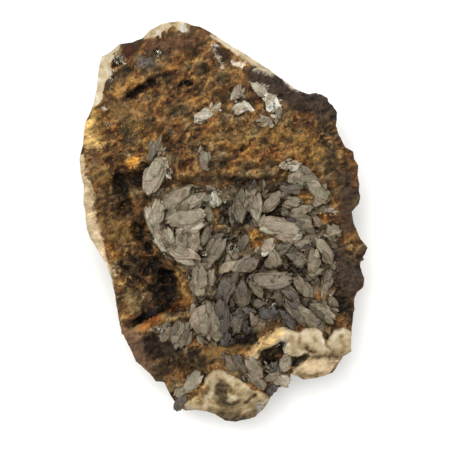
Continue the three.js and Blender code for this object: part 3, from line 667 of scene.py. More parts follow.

# %% [markdown]
# ## Stone materials
#
# Limonite is an earthy iron hydroxide: near black where it is dense or in a pore, brown on weathered faces,
# rust and ochre where it is powdery. A painted image would be stretched down the sides, so its colour is a
# ramp from black to ochre, in three kinds that a noise of 5 mm chooses between: golden, umber and rusty.
# The iron number sets the place along the ramp, crests push it up and pits push it down, partly for the
# darker oxide that pits hold and partly as painted highlight and shade, and noise of 6, 1.5 and 0.45 mm
# breaks it up. The floor of the hollow is greyer. The cream rock is a fine carbonate with a ramp of its own,
# darker brown in its pits, partly stain and partly painted shade. Other minerals lie over both, calmer where
# they are worn smooth, and then the white dust. All of it was left by weathering, so it is matt, and only the
# dense dark parts have a slight shine.

# %% Rock material
LIMONITE = [
    (0.0, "#150d06"), (0.16, "#2b1c0e"), (0.32, "#462d18"), (0.45, "#5e4124"), (0.57, "#7b5831"),
    (0.69, "#957040"), (0.81, "#ab8853"), (0.95, "#c3a570"),
]
RUST = [
    (0.0, "#180c05"), (0.25, "#3c2210"), (0.45, "#643e1e"), (0.62, "#8b5d2d"), (0.78, "#aa7b3d"),
    (0.95, "#c19a58"),
]
UMBER = [
    (0.0, "#150f08"), (0.2, "#2d2113"), (0.4, "#46371f"), (0.56, "#625036"), (0.72, "#80704f"),
    (0.9, "#a09070"),
]
CRUST = [(0.0, "#1d150b"), (0.3, "#3e3220"), (0.55, "#5f523d"), (0.8, "#827660")]
CREAM_ROCK = [
    (0.0, "#34271a"), (0.2, "#6b583a"), (0.38, "#937e59"), (0.55, "#b19d7a"), (0.75, "#c7b799"),
    (1.0, "#e2d9c6"),
]
QUARTZ_DUST = "#c9c4b6"
FINE_SCALE = 1 / (0.45 * MM)  # grains of about half a millimetre
MIDDLE_SCALE = 1 / (1.5 * MM)
BROAD_SCALE = 1 / (6.0 * MM)
HUE_SCALE = 1 / (5.0 * MM)
STONE_IOR = 1.5
EARTHY_SHINE = 0.2  # pores swallow most of the shine that a smooth face of this IOR would have, at 0.5


def limonite_and_cream_rock():
    """Weathered stone. The weights say how far each number or noise moves the colour along its ramp."""
    material, tree = new_material("limonite_and_cream_rock")
    place = add(tree, "TexCoord", output="Object")
    cream, iron, dust, crust, worn, stained, shade, crest = (
        add(tree, "Attribute", output="Fac", attribute_name=name)
        for name in ("cream", "iron", "dust", "crust", "worn", "stained", "shade", "crest")
    )
    stain = add(tree, "Attribute", output="Vector", attribute_name="stain")
    broad = add(tree, "TexNoise", {"Vector": place, "Scale": BROAD_SCALE, "Detail": 3, "Roughness": 0.6})
    streaky = {"Vector": place, "Rotation": (0, 0, STREAK_ANGLE), "Scale": (1.7, 0.8, 1)}
    streaky = add(tree, "Mapping", streaky, vector_type="TEXTURE")
    middle = add(tree, "TexNoise", {"Vector": streaky, "Scale": MIDDLE_SCALE, "Detail": 4, "Roughness": 0.6})
    fine = add(tree, "TexNoise", {"Vector": place, "Scale": FINE_SCALE, "Detail": 3, "Roughness": 0.7})
    aside = add(tree, "VectorMath", [place, (0.3, 0.1, 0.2)])
    hue = add(tree, "TexNoise", {"Vector": aside, "Scale": HUE_SCALE, "Detail": 4, "Roughness": 0.6})

    rust = -0.53  # brings the mean of the noise back to the middle of the ramp
    shares = ((iron, 0.36), (crest, 0.17), (shade, 0.12), (broad, 0.8), (middle, 0.8), (fine, 0.38))
    for share, weight in shares:
        rust = add(tree, "Math", [share, weight, rust], operation="MULTIPLY_ADD")
    golden = add(tree, "ValToRGB", {"Fac": rust}, stops=LIMONITE)
    umber = add(tree, "ValToRGB", {"Fac": rust}, stops=UMBER)
    rusty = add(tree, "ValToRGB", {"Fac": rust}, stops=RUST)
    tint = hue
    for share, weight in ((iron, -0.2), (shade, -0.1)):
        tint = add(tree, "Math", [share, weight, tint], operation="MULTIPLY_ADD")
    dull_share = add(tree, "MapRange", {"Value": tint, "From Min": 0.45, "From Max": 0.62})
    rust_share = add(tree, "MapRange", {"Value": tint, "From Min": 0.44, "From Max": 0.3})
    brown = add(tree, "Mix", {0: dull_share, 6: golden, 7: umber}, data_type="RGBA")
    brown = add(tree, "Mix", {0: rust_share, 6: brown, 7: rusty}, data_type="RGBA")
    grey = add(tree, "ValToRGB", {"Fac": rust}, stops=CRUST)
    lined = add(tree, "Math", [crust, 0.85], operation="MULTIPLY")
    brown = add(tree, "Mix", {0: lined, 6: brown, 7: grey}, data_type="RGBA")

    chalk = -0.1
    for share, weight in ((crest, 0.22), (middle, 0.62), (fine, 0.45), (iron, 0.5)):
        chalk = add(tree, "Math", [share, weight, chalk], operation="MULTIPLY_ADD")
    pale = add(tree, "ValToRGB", {"Fac": chalk}, stops=CREAM_ROCK)
    border = add(tree, "Math", [middle, 0.9, cream], operation="MULTIPLY_ADD")
    border = add(tree, "MapRange", {"Value": border, "From Min": 0.82, "From Max": 1.06})
    colour = add(tree, "Mix", {0: border, 6: brown, 7: pale}, data_type="RGBA")

    # the patches' brightness: noise, with crests lighter and pits darker, partly as painted highlight and
    # shade
    light = -3.4
    for share, weight in ((crest, 0.4), (shade, 0.2), (broad, 1.4), (middle, 3.0), (fine, 2.4)):
        light = add(tree, "Math", [share, weight, light], operation="MULTIPLY_ADD")
    uneven = add(tree, "Math", [worn, -0.6, 1.0], operation="MULTIPLY_ADD")
    light = add(tree, "Math", [light, uneven, 1.0], operation="MULTIPLY_ADD")
    light = add(tree, "Math", [light, 0.25], operation="MAXIMUM")
    patch = add(tree, "VectorMath", {0: stain, "Scale": light}, operation="SCALE")
    spread = stained
    for share, weight in ((middle, 1.2), (fine, 0.8)):
        spread = add(tree, "Math", [share, weight, spread], operation="MULTIPLY_ADD")
    spread = add(tree, "MapRange", {"Value": spread, "From Min": 1.2, "From Max": 1.75, "To Max": 0.9})
    colour = add(tree, "Mix", {0: spread, 6: colour, 7: patch}, data_type="RGBA")

    flecks = dust
    for share, weight in ((middle, 0.9), (fine, 0.9)):
        flecks = add(tree, "Math", [share, weight, flecks], operation="MULTIPLY_ADD")
    powder = add(tree, "MapRange", {"Value": flecks, "From Min": 1.3, "From Max": 1.5})
    colour = add(tree, "Mix", {0: powder, 6: colour, 7: linear(QUARTZ_DUST)}, data_type="RGBA")

    dull = {"Value": rust, "From Min": 0.1, "From Max": 0.6, "To Min": 0.5, "To Max": 0.92}
    dull = add(tree, "MapRange", dull)
    grain = add(tree, "Math", [middle, 0.7, fine], operation="MULTIPLY_ADD")
    roughened = add(tree, "Math", [uneven, 0.8], operation="MULTIPLY")
    bump = add(tree, "Bump", {"Strength": roughened, "Distance": 0.4 * MM, "Height": grain})
    surface = {"Base Color": colour, "Roughness": dull, "Normal": bump, "IOR": STONE_IOR}
    surface["Specular IOR Level"] = EARTHY_SHINE
    add(tree, "OutputMaterial", [add(tree, "BsdfPrincipled", surface)])
    return material


stone = limonite_and_cream_rock()
rock = new_piece("matrix_rock", rock_points, rock_faces, stone)
for name, values in marks.items():
    write_numbers(rock, name, values)
declare(rock, "matrix")
print("matrix_rock faces:", len(rock.data.polygons), "marks at each point:", len(marks))

# %% [markdown]
# ## Crystals
#
# The quartz grew as flattened spindles, 5 to 13 mm long, lying over each other in fans. A lathe would make
# almonds, and scattering alone would lose the fans, so each large crystal has its own row: where it lies,
# how it is turned and how pale it is. Small ones are strewn along strokes beside them.

# %% Crystal list
# By group: the node's name, and a word for the part of it where the node is large. Each crystal is
# x, y, length, width, heading, pitch, lift, tone: mm and degrees; a tone of 0 is taupe, -2 dark, 1.5 white.
CRYSTALS = {
    "crystal_crust rosette": [
        (-12.9, 7.3, 11.2, 4.2, 42, 12, 2.8, 0.35), (-19.2, 0.6, 11.5, 3.6, 112, 10, 2.2, 0.6),
        (-17.9, 3.4, 8, 4.2, 84, 12, 2.6, 0.8), (-9, 6.3, 9.4, 3.4, 28, 8, 3.6, 0.3),
        (-10.2, 2, 12.4, 4.6, 6, -4, 4.4, 0.4), (-9.6, -0.5, 9.5, 2.6, 8, 4, 3.8, 0.7),
        (-14.8, -3.9, 8, 3.8, 100, 6, 3, 0.4), (-11.6, -3.8, 7.8, 3.8, 92, 8, 3.4, 0.1),
        (-8.4, -3.9, 8, 3.8, 86, 6, 3.2, 0.3), (-5.4, -3.2, 7, 2.6, 74, 10, 2.8, -0.15),
        (-11.4, -7.9, 9.6, 4.8, 160, 5, 4.4, 0.35), (-17.2, -4.6, 7.4, 3.6, 126, 8, 2.6, 1.05),
        (-4.4, 3, 5.5, 2.8, 110, 12, 2.8, 0.05), (-2.4, 6.8, 5, 3.2, 100, 30, 3, 1.2),
        (-5.6, 7.4, 5.5, 2.2, 160, 10, 3, 0.1), (-13.9, 3.2, 6.5, 3.2, 60, 6, 3.2, 0.05),
    ],
    "crystal_crust near": [
        (-7, -15.5, 10.8, 4, 94, 12, 3.4, 0.25), (-3.7, -14.6, 6.5, 1.9, 88, 10, 2.8, 0.0),
        (-6.4, -11.3, 5.5, 2.4, 10, 10, 2.6, 0.05), (-2.6, -7.3, 9.8, 3.5, 60, 8, 3, -0.05),
        (-2.1, -3.2, 5.5, 1.8, 25, 12, 2.2, -0.45), (-7.5, -24.8, 8.4, 3.6, 62, 12, 3.9, 0.4),
        (-5.6, -26.4, 10, 3.2, 84, 12, 4.1, 0.15), (-3.2, -25.2, 11, 3, 102, 8, 3.2, 0.05),
        (-0.7, -25.6, 12, 4.2, 95, 10, 2.8, -0.85), (-0.5, -18, 9.8, 4.2, 70, 10, 2.8, -0.65),
        (1.9, -15.4, 7.5, 3, 65, 12, 2.6, -0.55), (-2.7, -30, 5.5, 2, 115, 20, 2.8, 0.35),
        (4.7, -18.4, 9.2, 4, 92, 14, 3.2, -0.45), (3.3, -26.2, 9, 3.3, 75, 14, 2.8, -0.65),
        (6.6, -23.4, 5.2, 2.4, 160, 12, 2.6, -0.9), (7.8, -25.6, 5, 2.6, 120, 20, 2.8, 0.05),
        # these two, nearly black and sunk low, are painted shade in the dark gaps
        (5.2, -27.6, 5, 2.7, 90, 15, 0.8, -1.6), (-0.2, -31, 6, 2.4, 80, 5, 1.0, -1.5),
    ],
    "crystal_crust ledge": [
        (4.3, 5.3, 11.5, 4.3, 93, -14, 2.8, -0.2), (8.2, 5, 10.5, 4, 101, -14, 2.9, 0.1),
        (12.8, 6.4, 8.8, 3.3, 50, 10, 3, 0.1), (2, 3, 6.5, 2.4, 95, -8, 1.8, -0.5),
        (17.8, 6.1, 5.8, 3.4, 5, 15, 3, 0.1), (17.6, 9.6, 7, 2.6, 175, 8, 2.6, -0.4),
        (18.6, 12.8, 6, 3, 35, 20, 2.4, 0.5), (22.3, 12.8, 8, 3.8, 140, 15, 2.4, 0.3),
        (24.8, 9, 9.2, 3.4, 138, 14, 2.6, 0.3), (25.2, 6.4, 6, 2.5, 30, 12, 2.2, 0.2),
        (18.4, 15.2, 4.5, 2, 165, 20, 1.6, 1.15), (19.9, 3.8, 6.5, 3, 20, 12, 2.8, 0.1),
        (16.4, 3.2, 3.6, 2, 0, 20, 2.6, -0.2),
    ],
    "crystal_crust leaves": [
        (14.7, -0.6, 12.8, 5, 172, 6, 3.8, 0.6), (20.3, 0.7, 8, 4.4, 160, 10, 3.2, 0.1),
        (17.4, -2.9, 7.5, 2.6, 170, 6, 3, 0.8), (11.4, -5.8, 6.6, 3.2, 48, 25, 2.8, 0.7),
        (12.2, -10.2, 5, 2.8, 85, 25, 2.8, 0.1), (14.1, -9.2, 6.5, 2.2, 112, 18, 2.8, 0.35),
        (19.4, -9, 7, 5, 150, 10, 2.4, -0.3), (20.6, -5, 5.2, 2.6, 10, 15, 2.4, 0.2),
        (26.7, -6.5, 8.8, 3.4, 128, 12, 3, 0.25), (23.6, -9.9, 8.4, 3.2, 82, 14, 3.2, 0.2),
        (24, -4.6, 5.5, 2.6, 60, 12, 2.2, -0.2), (4.9, -4.6, 5.6, 3.2, 70, 15, 2.2, -0.4),
        (16, -6.2, 5.5, 2.4, 30, 20, 2.2, -0.3),
    ],
    "crystal_crust middle": [
        (12.5, -14.7, 12.4, 5, 6, 6, 4, -0.15), (8.7, -17.4, 6.8, 3.1, 118, 10, 3.2, -0.05),
        (5.8, -10.6, 8, 5, 40, 10, 2.8, -0.05), (0.9, -11.2, 5.8, 3, 38, 25, 2.8, 0.5),
        (21.1, -17, 8.4, 2.8, 128, 12, 3.2, 0.05), (18, -18.8, 8.6, 3.5, 132, 10, 2.8, -0.4),
        (22.8, -24.7, 10, 3.1, 133, 10, 3.4, 0.0), (19.2, -23.8, 11, 3.5, 128, 8, 2.6, -0.45),
        (26.9, -24.4, 8, 4.3, 138, 10, 2.8, 0.25), (16.7, -25.2, 8, 2.6, 135, 8, 0.8, -1.8),
        (14.7, -20.3, 6, 2.4, 105, 20, 2.6, -0.35), (12, -23.8, 7, 4.2, 5, 8, 0.8, -1.2),
        (9.4, -21.4, 5.2, 2.8, 15, 20, 2.4, -0.45), (27.6, -15.2, 8.4, 2.4, 76, 10, 1.8, -0.1),
        (2.6, -8.2, 5, 2.2, 120, 25, 2, 0.4),
    ],
    "upper_left_blades": [
        (-18.8, 12.9, 12.8, 4.2, 67, 6, 2.2, 0.65), (-18.8, 20.4, 8.4, 2.6, 68, 6, 1.6, 0.0),
        (-16.9, 17.2, 4, 2.8, 170, 15, 1.8, 0.8),
    ],
    "upper_middle_blade": [(-5.5, 17, 6, 2.9, 95, 10, 1.3, 0.1)],
    "top_blades": [(-5.6, 29, 6.2, 2.5, 10, 8, 1.2, 0.9), (-2.5, 30.5, 4.8, 2, 56, 12, 1.2, 0.6)],
    "upper_right_tuft": [
        (2.9, 35, 6, 2.3, 68, 8, 0.7, 0.55), (3.6, 30.8, 4.8, 3.2, 48, 8, 0.8, 0.75),
        (6.2, 31.2, 5.2, 1.6, 131, 8, 1.1, 1.2), (9, 35.8, 6.4, 3, 139, 8, 0.7, 0.7),
        (11.8, 33.4, 4.6, 2.6, 20, 12, 0.8, 0.9), (13.4, 32.2, 4.8, 2.6, 112, 12, 0.9, 1.5),
        (12, 31.2, 4.2, 2.4, 60, 16, 0.9, 1.5), (14, 29.4, 4.4, 2.2, 76, 8, 0.6, 0.0),
        (11.4, 27.4, 4, 2, 140, 6, 0.6, 0.15), (9, 28, 2.8, 1.6, 20, 10, 0.6, 0.3),
    ],
    "right_blades": [(27.8, 4, 4.2, 1.6, 10, 15, 1.6, 0.6), (29, -2, 5, 2.4, 15, 18, 2, 0.35)],
    "lower_left_spray": [
        (-15.8, -29.8, 6, 2.2, 65, 12, 2.2, 0.05), (-13.2, -29.4, 8, 3, 68, 10, 2.8, 0.0),
        (-11.3, -31.1, 7.4, 2.1, 72, 12, 2.6, -0.2), (-10.6, -27.6, 4.6, 2, 50, 15, 2.2, 0.1),
        (-12.9, -31.9, 5.6, 2.6, 80, 10, 2.2, 0.0),
    ],
    "near_left_blades": [
        (-8.9, -43, 8.6, 3.9, 50, 8, 2.2, 0.35), (-12.2, -48.8, 6.8, 3.6, 74, 6, 1.8, -0.6),
        (-11.8, -45.6, 5.2, 2.4, 58, 8, 2.0, 0.5),
    ],
    "near_crystals": [
        (1.4, -37.6, 6, 2.6, 120, 10, 1.8, 0.0), (4.3, -37.8, 6.8, 3, 118, 10, 2.2, -0.4),
        (7.8, -38.7, 8.4, 3.9, 132, 8, 2.6, 0.0), (8.6, -42.4, 7.6, 3.1, 135, 6, 1.4, 0.0),
        (16.4, -37.6, 6.4, 3.4, 65, 10, 2.2, 0.45), (12.6, -41.6, 6, 3, 20, 8, 1.8, 0.0),
        (15.7, -42.3, 5.8, 3.8, 150, 6, 2.2, 0.7), (13.2, -39.2, 5.4, 2.4, 60, 8, 1.2, -1.8),
        # this one, nearly black and sunk low, is painted shade in a shadowed corner
        (12.8, -45, 5, 2.8, 56, 10, 1.0, -2.2),
    ],
}
# Small crystals about the groups: x1, y1, x2, y2, half width, number, tone
SPRIGS = {
    "upper_right_tuft": [
        (2.1, 33, 4.4, 37.2, 0.9, 16, 0.6), (2.6, 29.8, 5.2, 30.2, 0.7, 10, 1.0),
        (7.4, 37.4, 10.6, 35.4, 0.9, 14, 0.7), (10.8, 33.8, 14.4, 31.4, 1.6, 44, 1.2),
        (13.2, 30.4, 14.4, 28.2, 0.9, 12, 0.4), (8.4, 28.4, 12.2, 26.4, 0.9, 18, 0.5),
    ],
    "top_blades": [(-7.4, 28, -2, 30.6, 1.2, 44, 0.7)],
    "upper_middle_blade": [(-6.3, 20, -4.6, 14.6, 0.8, 24, 0.2)],
    "upper_left_blades": [(-18, 24, -16.8, 16, 1.2, 50, 0.55), (-17.2, 17.6, -15.2, 13.6, 0.9, 24, 1.0)],
    "lower_left_spray": [(-17.6, -28, -10, -33, 1.9, 60, 0.1), (-20, -27, -16.6, -30, 0.9, 16, -0.1)],
    "near_left_blades": [(-14, -49, -8.4, -41.6, 1.6, 40, -0.1)],
    "near_crystals": [(0, -36, 9.6, -42, 1.9, 80, -0.3), (12, -38, 17, -42.4, 1.6, 50, 0.0)],
    "right_blades": [(26.4, 4.4, 30, 3.6, 0.8, 20, 0.8), (27.6, -2.4, 30.4, -1.4, 0.9, 20, 0.5)],
    "crystal_crust ledge": [(14.8, 15.6, 19.4, 15.8, 1.0, 36, 0.8)],
}
print("large crystals:", sum(len(rows) for rows in CRYSTALS.values()))

# %% [markdown]
# ## One crystal
#
# A real crystal is bounded by flat faces, so each is cut by planes: eight along it, three or four that
# close each end, and three odd ones. Blender's boolean cuts would be slow for thousands of them. Here each
# point of a ball is moved out until it meets the planes. They are blended by a high power, which rounds the
# edges by a few hundredths of a millimetre, as worn edges are.

# %% Crystal shapes
ROOT = 1.5  # how far a crystal's root is sunk in the rock, mm
ROOT_TAPER = 0.25  # how much narrower a crystal is at the end of its root
SHARPNESS = 60.0  # the power that blends the flat faces: higher is sharper
BREADTH = 1.12  # makes up for what the slanting faces take off the width
BROAD_FACE = 0.84  # how far the broad faces lie from the middle, as a share of the half depth
BLUNT_SHARE = 0.22  # share of the ends that are cut off bluntly
AROUND_MM, ALONG_MM = 7.6, 2.9  # points around for each mm of width, and rings for each mm of length


def spindle_grid(around, along):
    """Directions in rings along Y with a point at each end, and the triangles between them."""
    lift = np.sin(np.linspace(-0.5, 0.5, along + 1)[1:-1] * math.pi)
    turn = np.arange(around) * 2 * math.pi / around
    wide = np.sqrt(1 - lift**2)[:, None]
    level = np.repeat(lift[:, None], around, axis=1)
    rings = np.stack([wide * np.cos(turn), level, wide * np.sin(turn)], axis=-1)
    directions = np.concatenate([[[0, -1, 0]], rings.reshape(-1, 3), [[0, 1, 0]]])
    here = 1 + np.arange((along - 1) * around).reshape(along - 1, around)
    there = np.roll(here, -1, axis=1)
    a, b, c, d = here[:-1].ravel(), there[:-1].ravel(), there[1:].ravel(), here[1:].ravel()
    last = len(directions) - 1
    start = np.stack([np.zeros(around, int), there[0], here[0]], axis=-1)
    end = np.stack([np.full(around, last), here[-1], there[-1]], axis=-1)
    sides = np.concatenate([np.stack([a, b, c], axis=-1), np.stack([a, c, d], axis=-1)])
    return directions, np.concatenate([start, sides, end])[:, ::-1]


def crystal_planes(half_width, half_length, half_depth, rng):
    """Unit normals and distances, in mm, of the faces of a flat blade whose long axis is Y."""
    normals, distances = [], []

    def face(around, tilt, distance):
        flat = math.cos(tilt)
        normals.append((math.cos(around) * flat, math.sin(tilt), math.sin(around) * flat))
        distances.append(distance)

    for around in (math.pi / 2, -math.pi / 2):
        face(around + rng.uniform(-0.14, 0.14), rng.uniform(-0.05, 0.05), BROAD_FACE * half_depth)
    for around in (0.7, math.pi - 0.7, -0.7, math.pi + 0.7):
        around += rng.uniform(-0.2, 0.2)
        reach = math.hypot(half_width * math.cos(around), half_depth * math.sin(around))
        face(around, rng.uniform(-0.04, 0.04), reach * rng.uniform(0.88, 1.0))
    for side in (0, math.pi):
        face(side + rng.uniform(-0.2, 0.2), rng.uniform(-0.08, 0.08), half_width * rng.uniform(0.9, 1.0))
    for end in (-1, 1):
        for side in (0, math.pi):
            tilt = rng.uniform(0.33, 0.62)
            distance = half_length * math.sin(tilt)
            face(side + rng.uniform(-0.3, 0.3), end * tilt, distance * rng.uniform(0.9, 1.04))
        tilt = rng.uniform(0.25, 0.7)
        face(rng.uniform(1.1, 2.0), end * tilt, half_length * math.sin(tilt) + 0.25 * half_depth)
        if rng.random() < BLUNT_SHARE:
            tilt = rng.uniform(1.1, 1.4)
            face(rng.uniform(0, math.pi), end * tilt, half_length * rng.uniform(0.8, 0.92))
    for _ in range(3):
        around, tilt = rng.uniform(0.2, 2.9), rng.uniform(-1.0, 1.0)
        reach = math.hypot(half_width * math.cos(around), half_depth * math.sin(around)) * math.cos(tilt)
        face(around, tilt, reach + 0.55 * half_length * abs(math.sin(tilt)))
    return np.array(normals), np.array(distances)


def crystal_body(length, width, depth, rng):
    """Points of one crystal, long axis Y, in mm, how near an edge each of them is, and the triangles."""
    half = np.array([width, length, depth]) / 2
    around = int(np.clip(AROUND_MM * width, 7, 32))
    along = int(np.clip(ALONG_MM * length, 6, 34))
    directions, triangles = spindle_grid(around, along)
    directions = directions * half
    directions /= np.linalg.norm(directions, axis=1, keepdims=True)
    normals, distances = crystal_planes(*half, rng)
    facing = np.clip(directions @ normals.T, 0, None) / distances
    body = directions / np.power(np.power(facing, SHARPNESS).sum(axis=1), 1 / SHARPNESS)[:, None]
    two_nearest = np.sort(facing, axis=1)[:, -2:]
    edge = step(0.9, 1.0, two_nearest[:, 0] / two_nearest[:, 1])
    if length >= 3:  # on smaller ones the chips and growth steps wouldn't show
        place = body + rng.uniform(-90, 90, 3)
        uneven = 0.05 * noise(place * [1, 0.3, 1], 0.6, 7) + 0.07 * noise(place * [1, 0.5, 1], 1.5, 8)
        chips = step(0.2, 0.5, noise(place, 0.9, 9)) * edge
        off_axis = np.maximum(np.hypot(body[:, 0], body[:, 2]), 0.2)
        body[:, [0, 2]] *= (1 + (uneven - 0.16 * chips) / off_axis)[:, None]
        body[:, 1] *= 1 - 0.06 * step(-0.2, 0.4, noise(place * [1, 0.1, 1], 0.9, 10))
    bent = length * (body[:, 1] / half[1]) ** 2
    body[:, 0] += rng.uniform(-0.03, 0.03) * bent
    body[:, 2] -= rng.uniform(0, 0.03) * bent
    return body, edge, triangles


def placed(body, origin, heading, pitch, roll, root_depth):
    """The body rolled, pitched and turned to its place, with its underside drawn down to its root."""
    c, s = math.cos(roll), math.sin(roll)
    body = body @ np.array([[c, 0, -s], [0, 1, 0], [s, 0, c]])
    c, s = math.cos(pitch), math.sin(pitch)
    body = body @ np.array([[1, 0, 0], [0, c, s], [0, -s, c]])
    body[:, 2] = np.where(body[:, 2] < 0, body[:, 2] * max(-root_depth / body[:, 2].min(), 1), body[:, 2])
    body[:, :2] *= 1 - ROOT_TAPER * np.clip(-body[:, 2:] / root_depth, 0, 1)
    c, s = math.cos(heading - math.pi / 2), math.sin(heading - math.pi / 2)
    return body @ np.array([[c, s, 0], [-s, c, 0], [0, 0, 1]]) + origin


# %% [markdown]
# ## A druse of crystals
#
# Quartz seldom grows as single blades. Each large crystal here is a bundle: one blade with two to four
# thinner ones grown along it, each with its own end, and a broader one beneath. Thousands of objects would
# be slow, so the crystals of a group are gathered into one mesh.

# %% Druse
FACET_ANGLE = 22  # degrees between faces above which their edge is sharp


class Druse:
    """Crystals gathered into one piece, with the numbers that their material reads."""

    def __init__(self):
        self.points, self.faces, self.count = [], [], 0
        self.marks = {"grain": [], "tone": [], "hue": [], "edge": []}

    def grow(self, row, rng, roll=None, depth=None):
        x, y, length, width, heading, pitch, lift, tone = row
        width *= BREADTH
        depth = width * rng.uniform(0.5, 0.7) if depth is None else depth
        origin = np.array([x, y, height_inside(x, y) + lift])
        roll = rng.uniform(-0.3, 0.3) if roll is None else roll
        body, edge, triangles = crystal_body(length, width, depth, rng)
        there = placed(body, origin, math.radians(heading), math.radians(pitch), roll, lift + ROOT)
        self.points.append(there)
        self.faces.append(triangles + self.count)
        self.marks["grain"].append(body + rng.uniform(-50, 50, 3))
        self.marks["tone"].append(np.full(len(body), tone + rng.uniform(-0.2, 0.2)))
        self.marks["hue"].append(np.full(len(body), rng.uniform(0, 1)))
        self.marks["edge"].append(edge)
        self.count += len(body)

    def grow_bundle(self, row, rng):
        """A crystal with two to four thinner blades grown along it, each with its own end."""
        x, y, length, width, heading, pitch, lift, tone = row
        roll = rng.uniform(-0.22, 0.22)
        depth = width * rng.uniform(0.5, 0.62)
        self.grow((x, y, length, 0.9 * width, heading, pitch, lift, tone), rng, roll, depth)
        under = (
            x + rng.normal(0, 0.4), y + rng.normal(0, 0.4), 0.85 * length, 1.4 * width,
            heading + rng.normal(0, 12), pitch, lift - 0.7, tone - 0.1,
        )
        self.grow(under, rng, roll, 0.5 * width)
        along, across = math.radians(heading), math.radians(heading + 90)
        blades = 4 if width >= 3.6 else 3 if width >= 2.6 else 2
        for k in rng.permutation(blades):
            out = width * (0.6 * (k + 0.5) / blades - 0.3 + rng.uniform(-0.05, 0.05))
            blade_length = length * rng.uniform(0.5, 0.85)
            blade_width = width * rng.uniform(0.42, 0.65)
            blade_depth = blade_width * rng.uniform(0.4, 0.5)
            shift = rng.choice([-0.5, 0.5]) * (1.04 * length - blade_length) * rng.uniform(0.6, 1.0)
            proud = BROAD_FACE * (depth - blade_depth) / 2 + rng.uniform(-0.05, 0.16) - 0.15 * abs(out)
            blade = (
                x + out * math.cos(across) + shift * math.cos(along),
                y + out * math.sin(across) + shift * math.sin(along),
                blade_length, blade_width, heading + rng.uniform(-5, 5), pitch + rng.uniform(-3, 3),
                lift + proud + shift * math.sin(math.radians(pitch)) + out * math.sin(roll),
                tone + rng.uniform(-0.25, 0.25),
            )
            self.grow(blade, rng, roll + rng.uniform(-0.12, 0.12), blade_depth)

    def grow_sprig(self, sprig, rng):
        """Small crystals scattered along a stroke on the rock."""
        x1, y1, x2, y2, half_width, number, tone = sprig
        heading = math.degrees(math.atan2(y2 - y1, x2 - x1))
        for _ in range(number):
            share = rng.random()
            x, y = x1 + (x2 - x1) * share, y1 + (y2 - y1) * share
            x, y = x + rng.normal(0, 0.55) * half_width, y + rng.normal(0, 0.55) * half_width
            length = 1.1 + 1.7 * rng.random() ** 1.8
            if cad_height(1.04 * x, 1.04 * y) is not None:
                small = (
                    x, y, length, length * rng.uniform(0.35, 0.6), heading + rng.normal(0, 35),
                    rng.uniform(0, 30), rng.uniform(0.4, 1.1), tone + rng.normal(0, 0.16),
                )
                self.grow(small, rng)

    def piece(self, name, material):
        """The crystals as one mesh object."""
        faces = np.concatenate(self.faces)
        made = new_piece(name, np.concatenate(self.points), faces.tolist(), material)
        made.data.set_sharp_from_angle(angle=math.radians(FACET_ANGLE))
        for mark, blocks in self.marks.items():
            write_numbers(made, mark, np.concatenate(blocks))
        write_numbers(made, "depth", depth_under_neighbours(np.concatenate(self.points)))
        print(name, "triangles:", len(faces))
        return made


# %% [markdown]
# ## Cloudy quartz
#
# These crystals are cloudy, not clear: they scatter light inside, so they look matt and solid, taupe to
# grey, with a faint satin sheen. A real haze inside them would render slowly and hide the faces, so the
# colour is laid on the surface. Fine growth lines run along each crystal, so the noise is read from its own
# axes, in millimetres, and is drawn out about seven times along it. Blotches, specks and a pinkish or olive
# cast tell one crystal from the next, and tiny white flecks are painted glints. What lies deep between the
# crystals is darker: partly dirt and iron, partly painted shade.

# %% Cloudy quartz
TAUPE_QUARTZ = [
    (0.0, "#302515"), (0.2, "#524630"), (0.38, "#6f6450"), (0.56, "#8a806d"), (0.72, "#a69e8c"),
    (0.86, "#bfc2ba"), (1.0, "#e0e8e7"),
]
QUARTZ_IOR = 1.544
# how many of each there are to a millimetre
LINES, BLOTCHES, SPECKS, CASTS, RUST_SPOTS, GLINT_SPOTS = 2.6, 0.6, 3.5, 0.35, 0.9, 5.5
TINTED = {"data_type": "RGBA", "blend_type": "MULTIPLY"}  # one colour seen through another


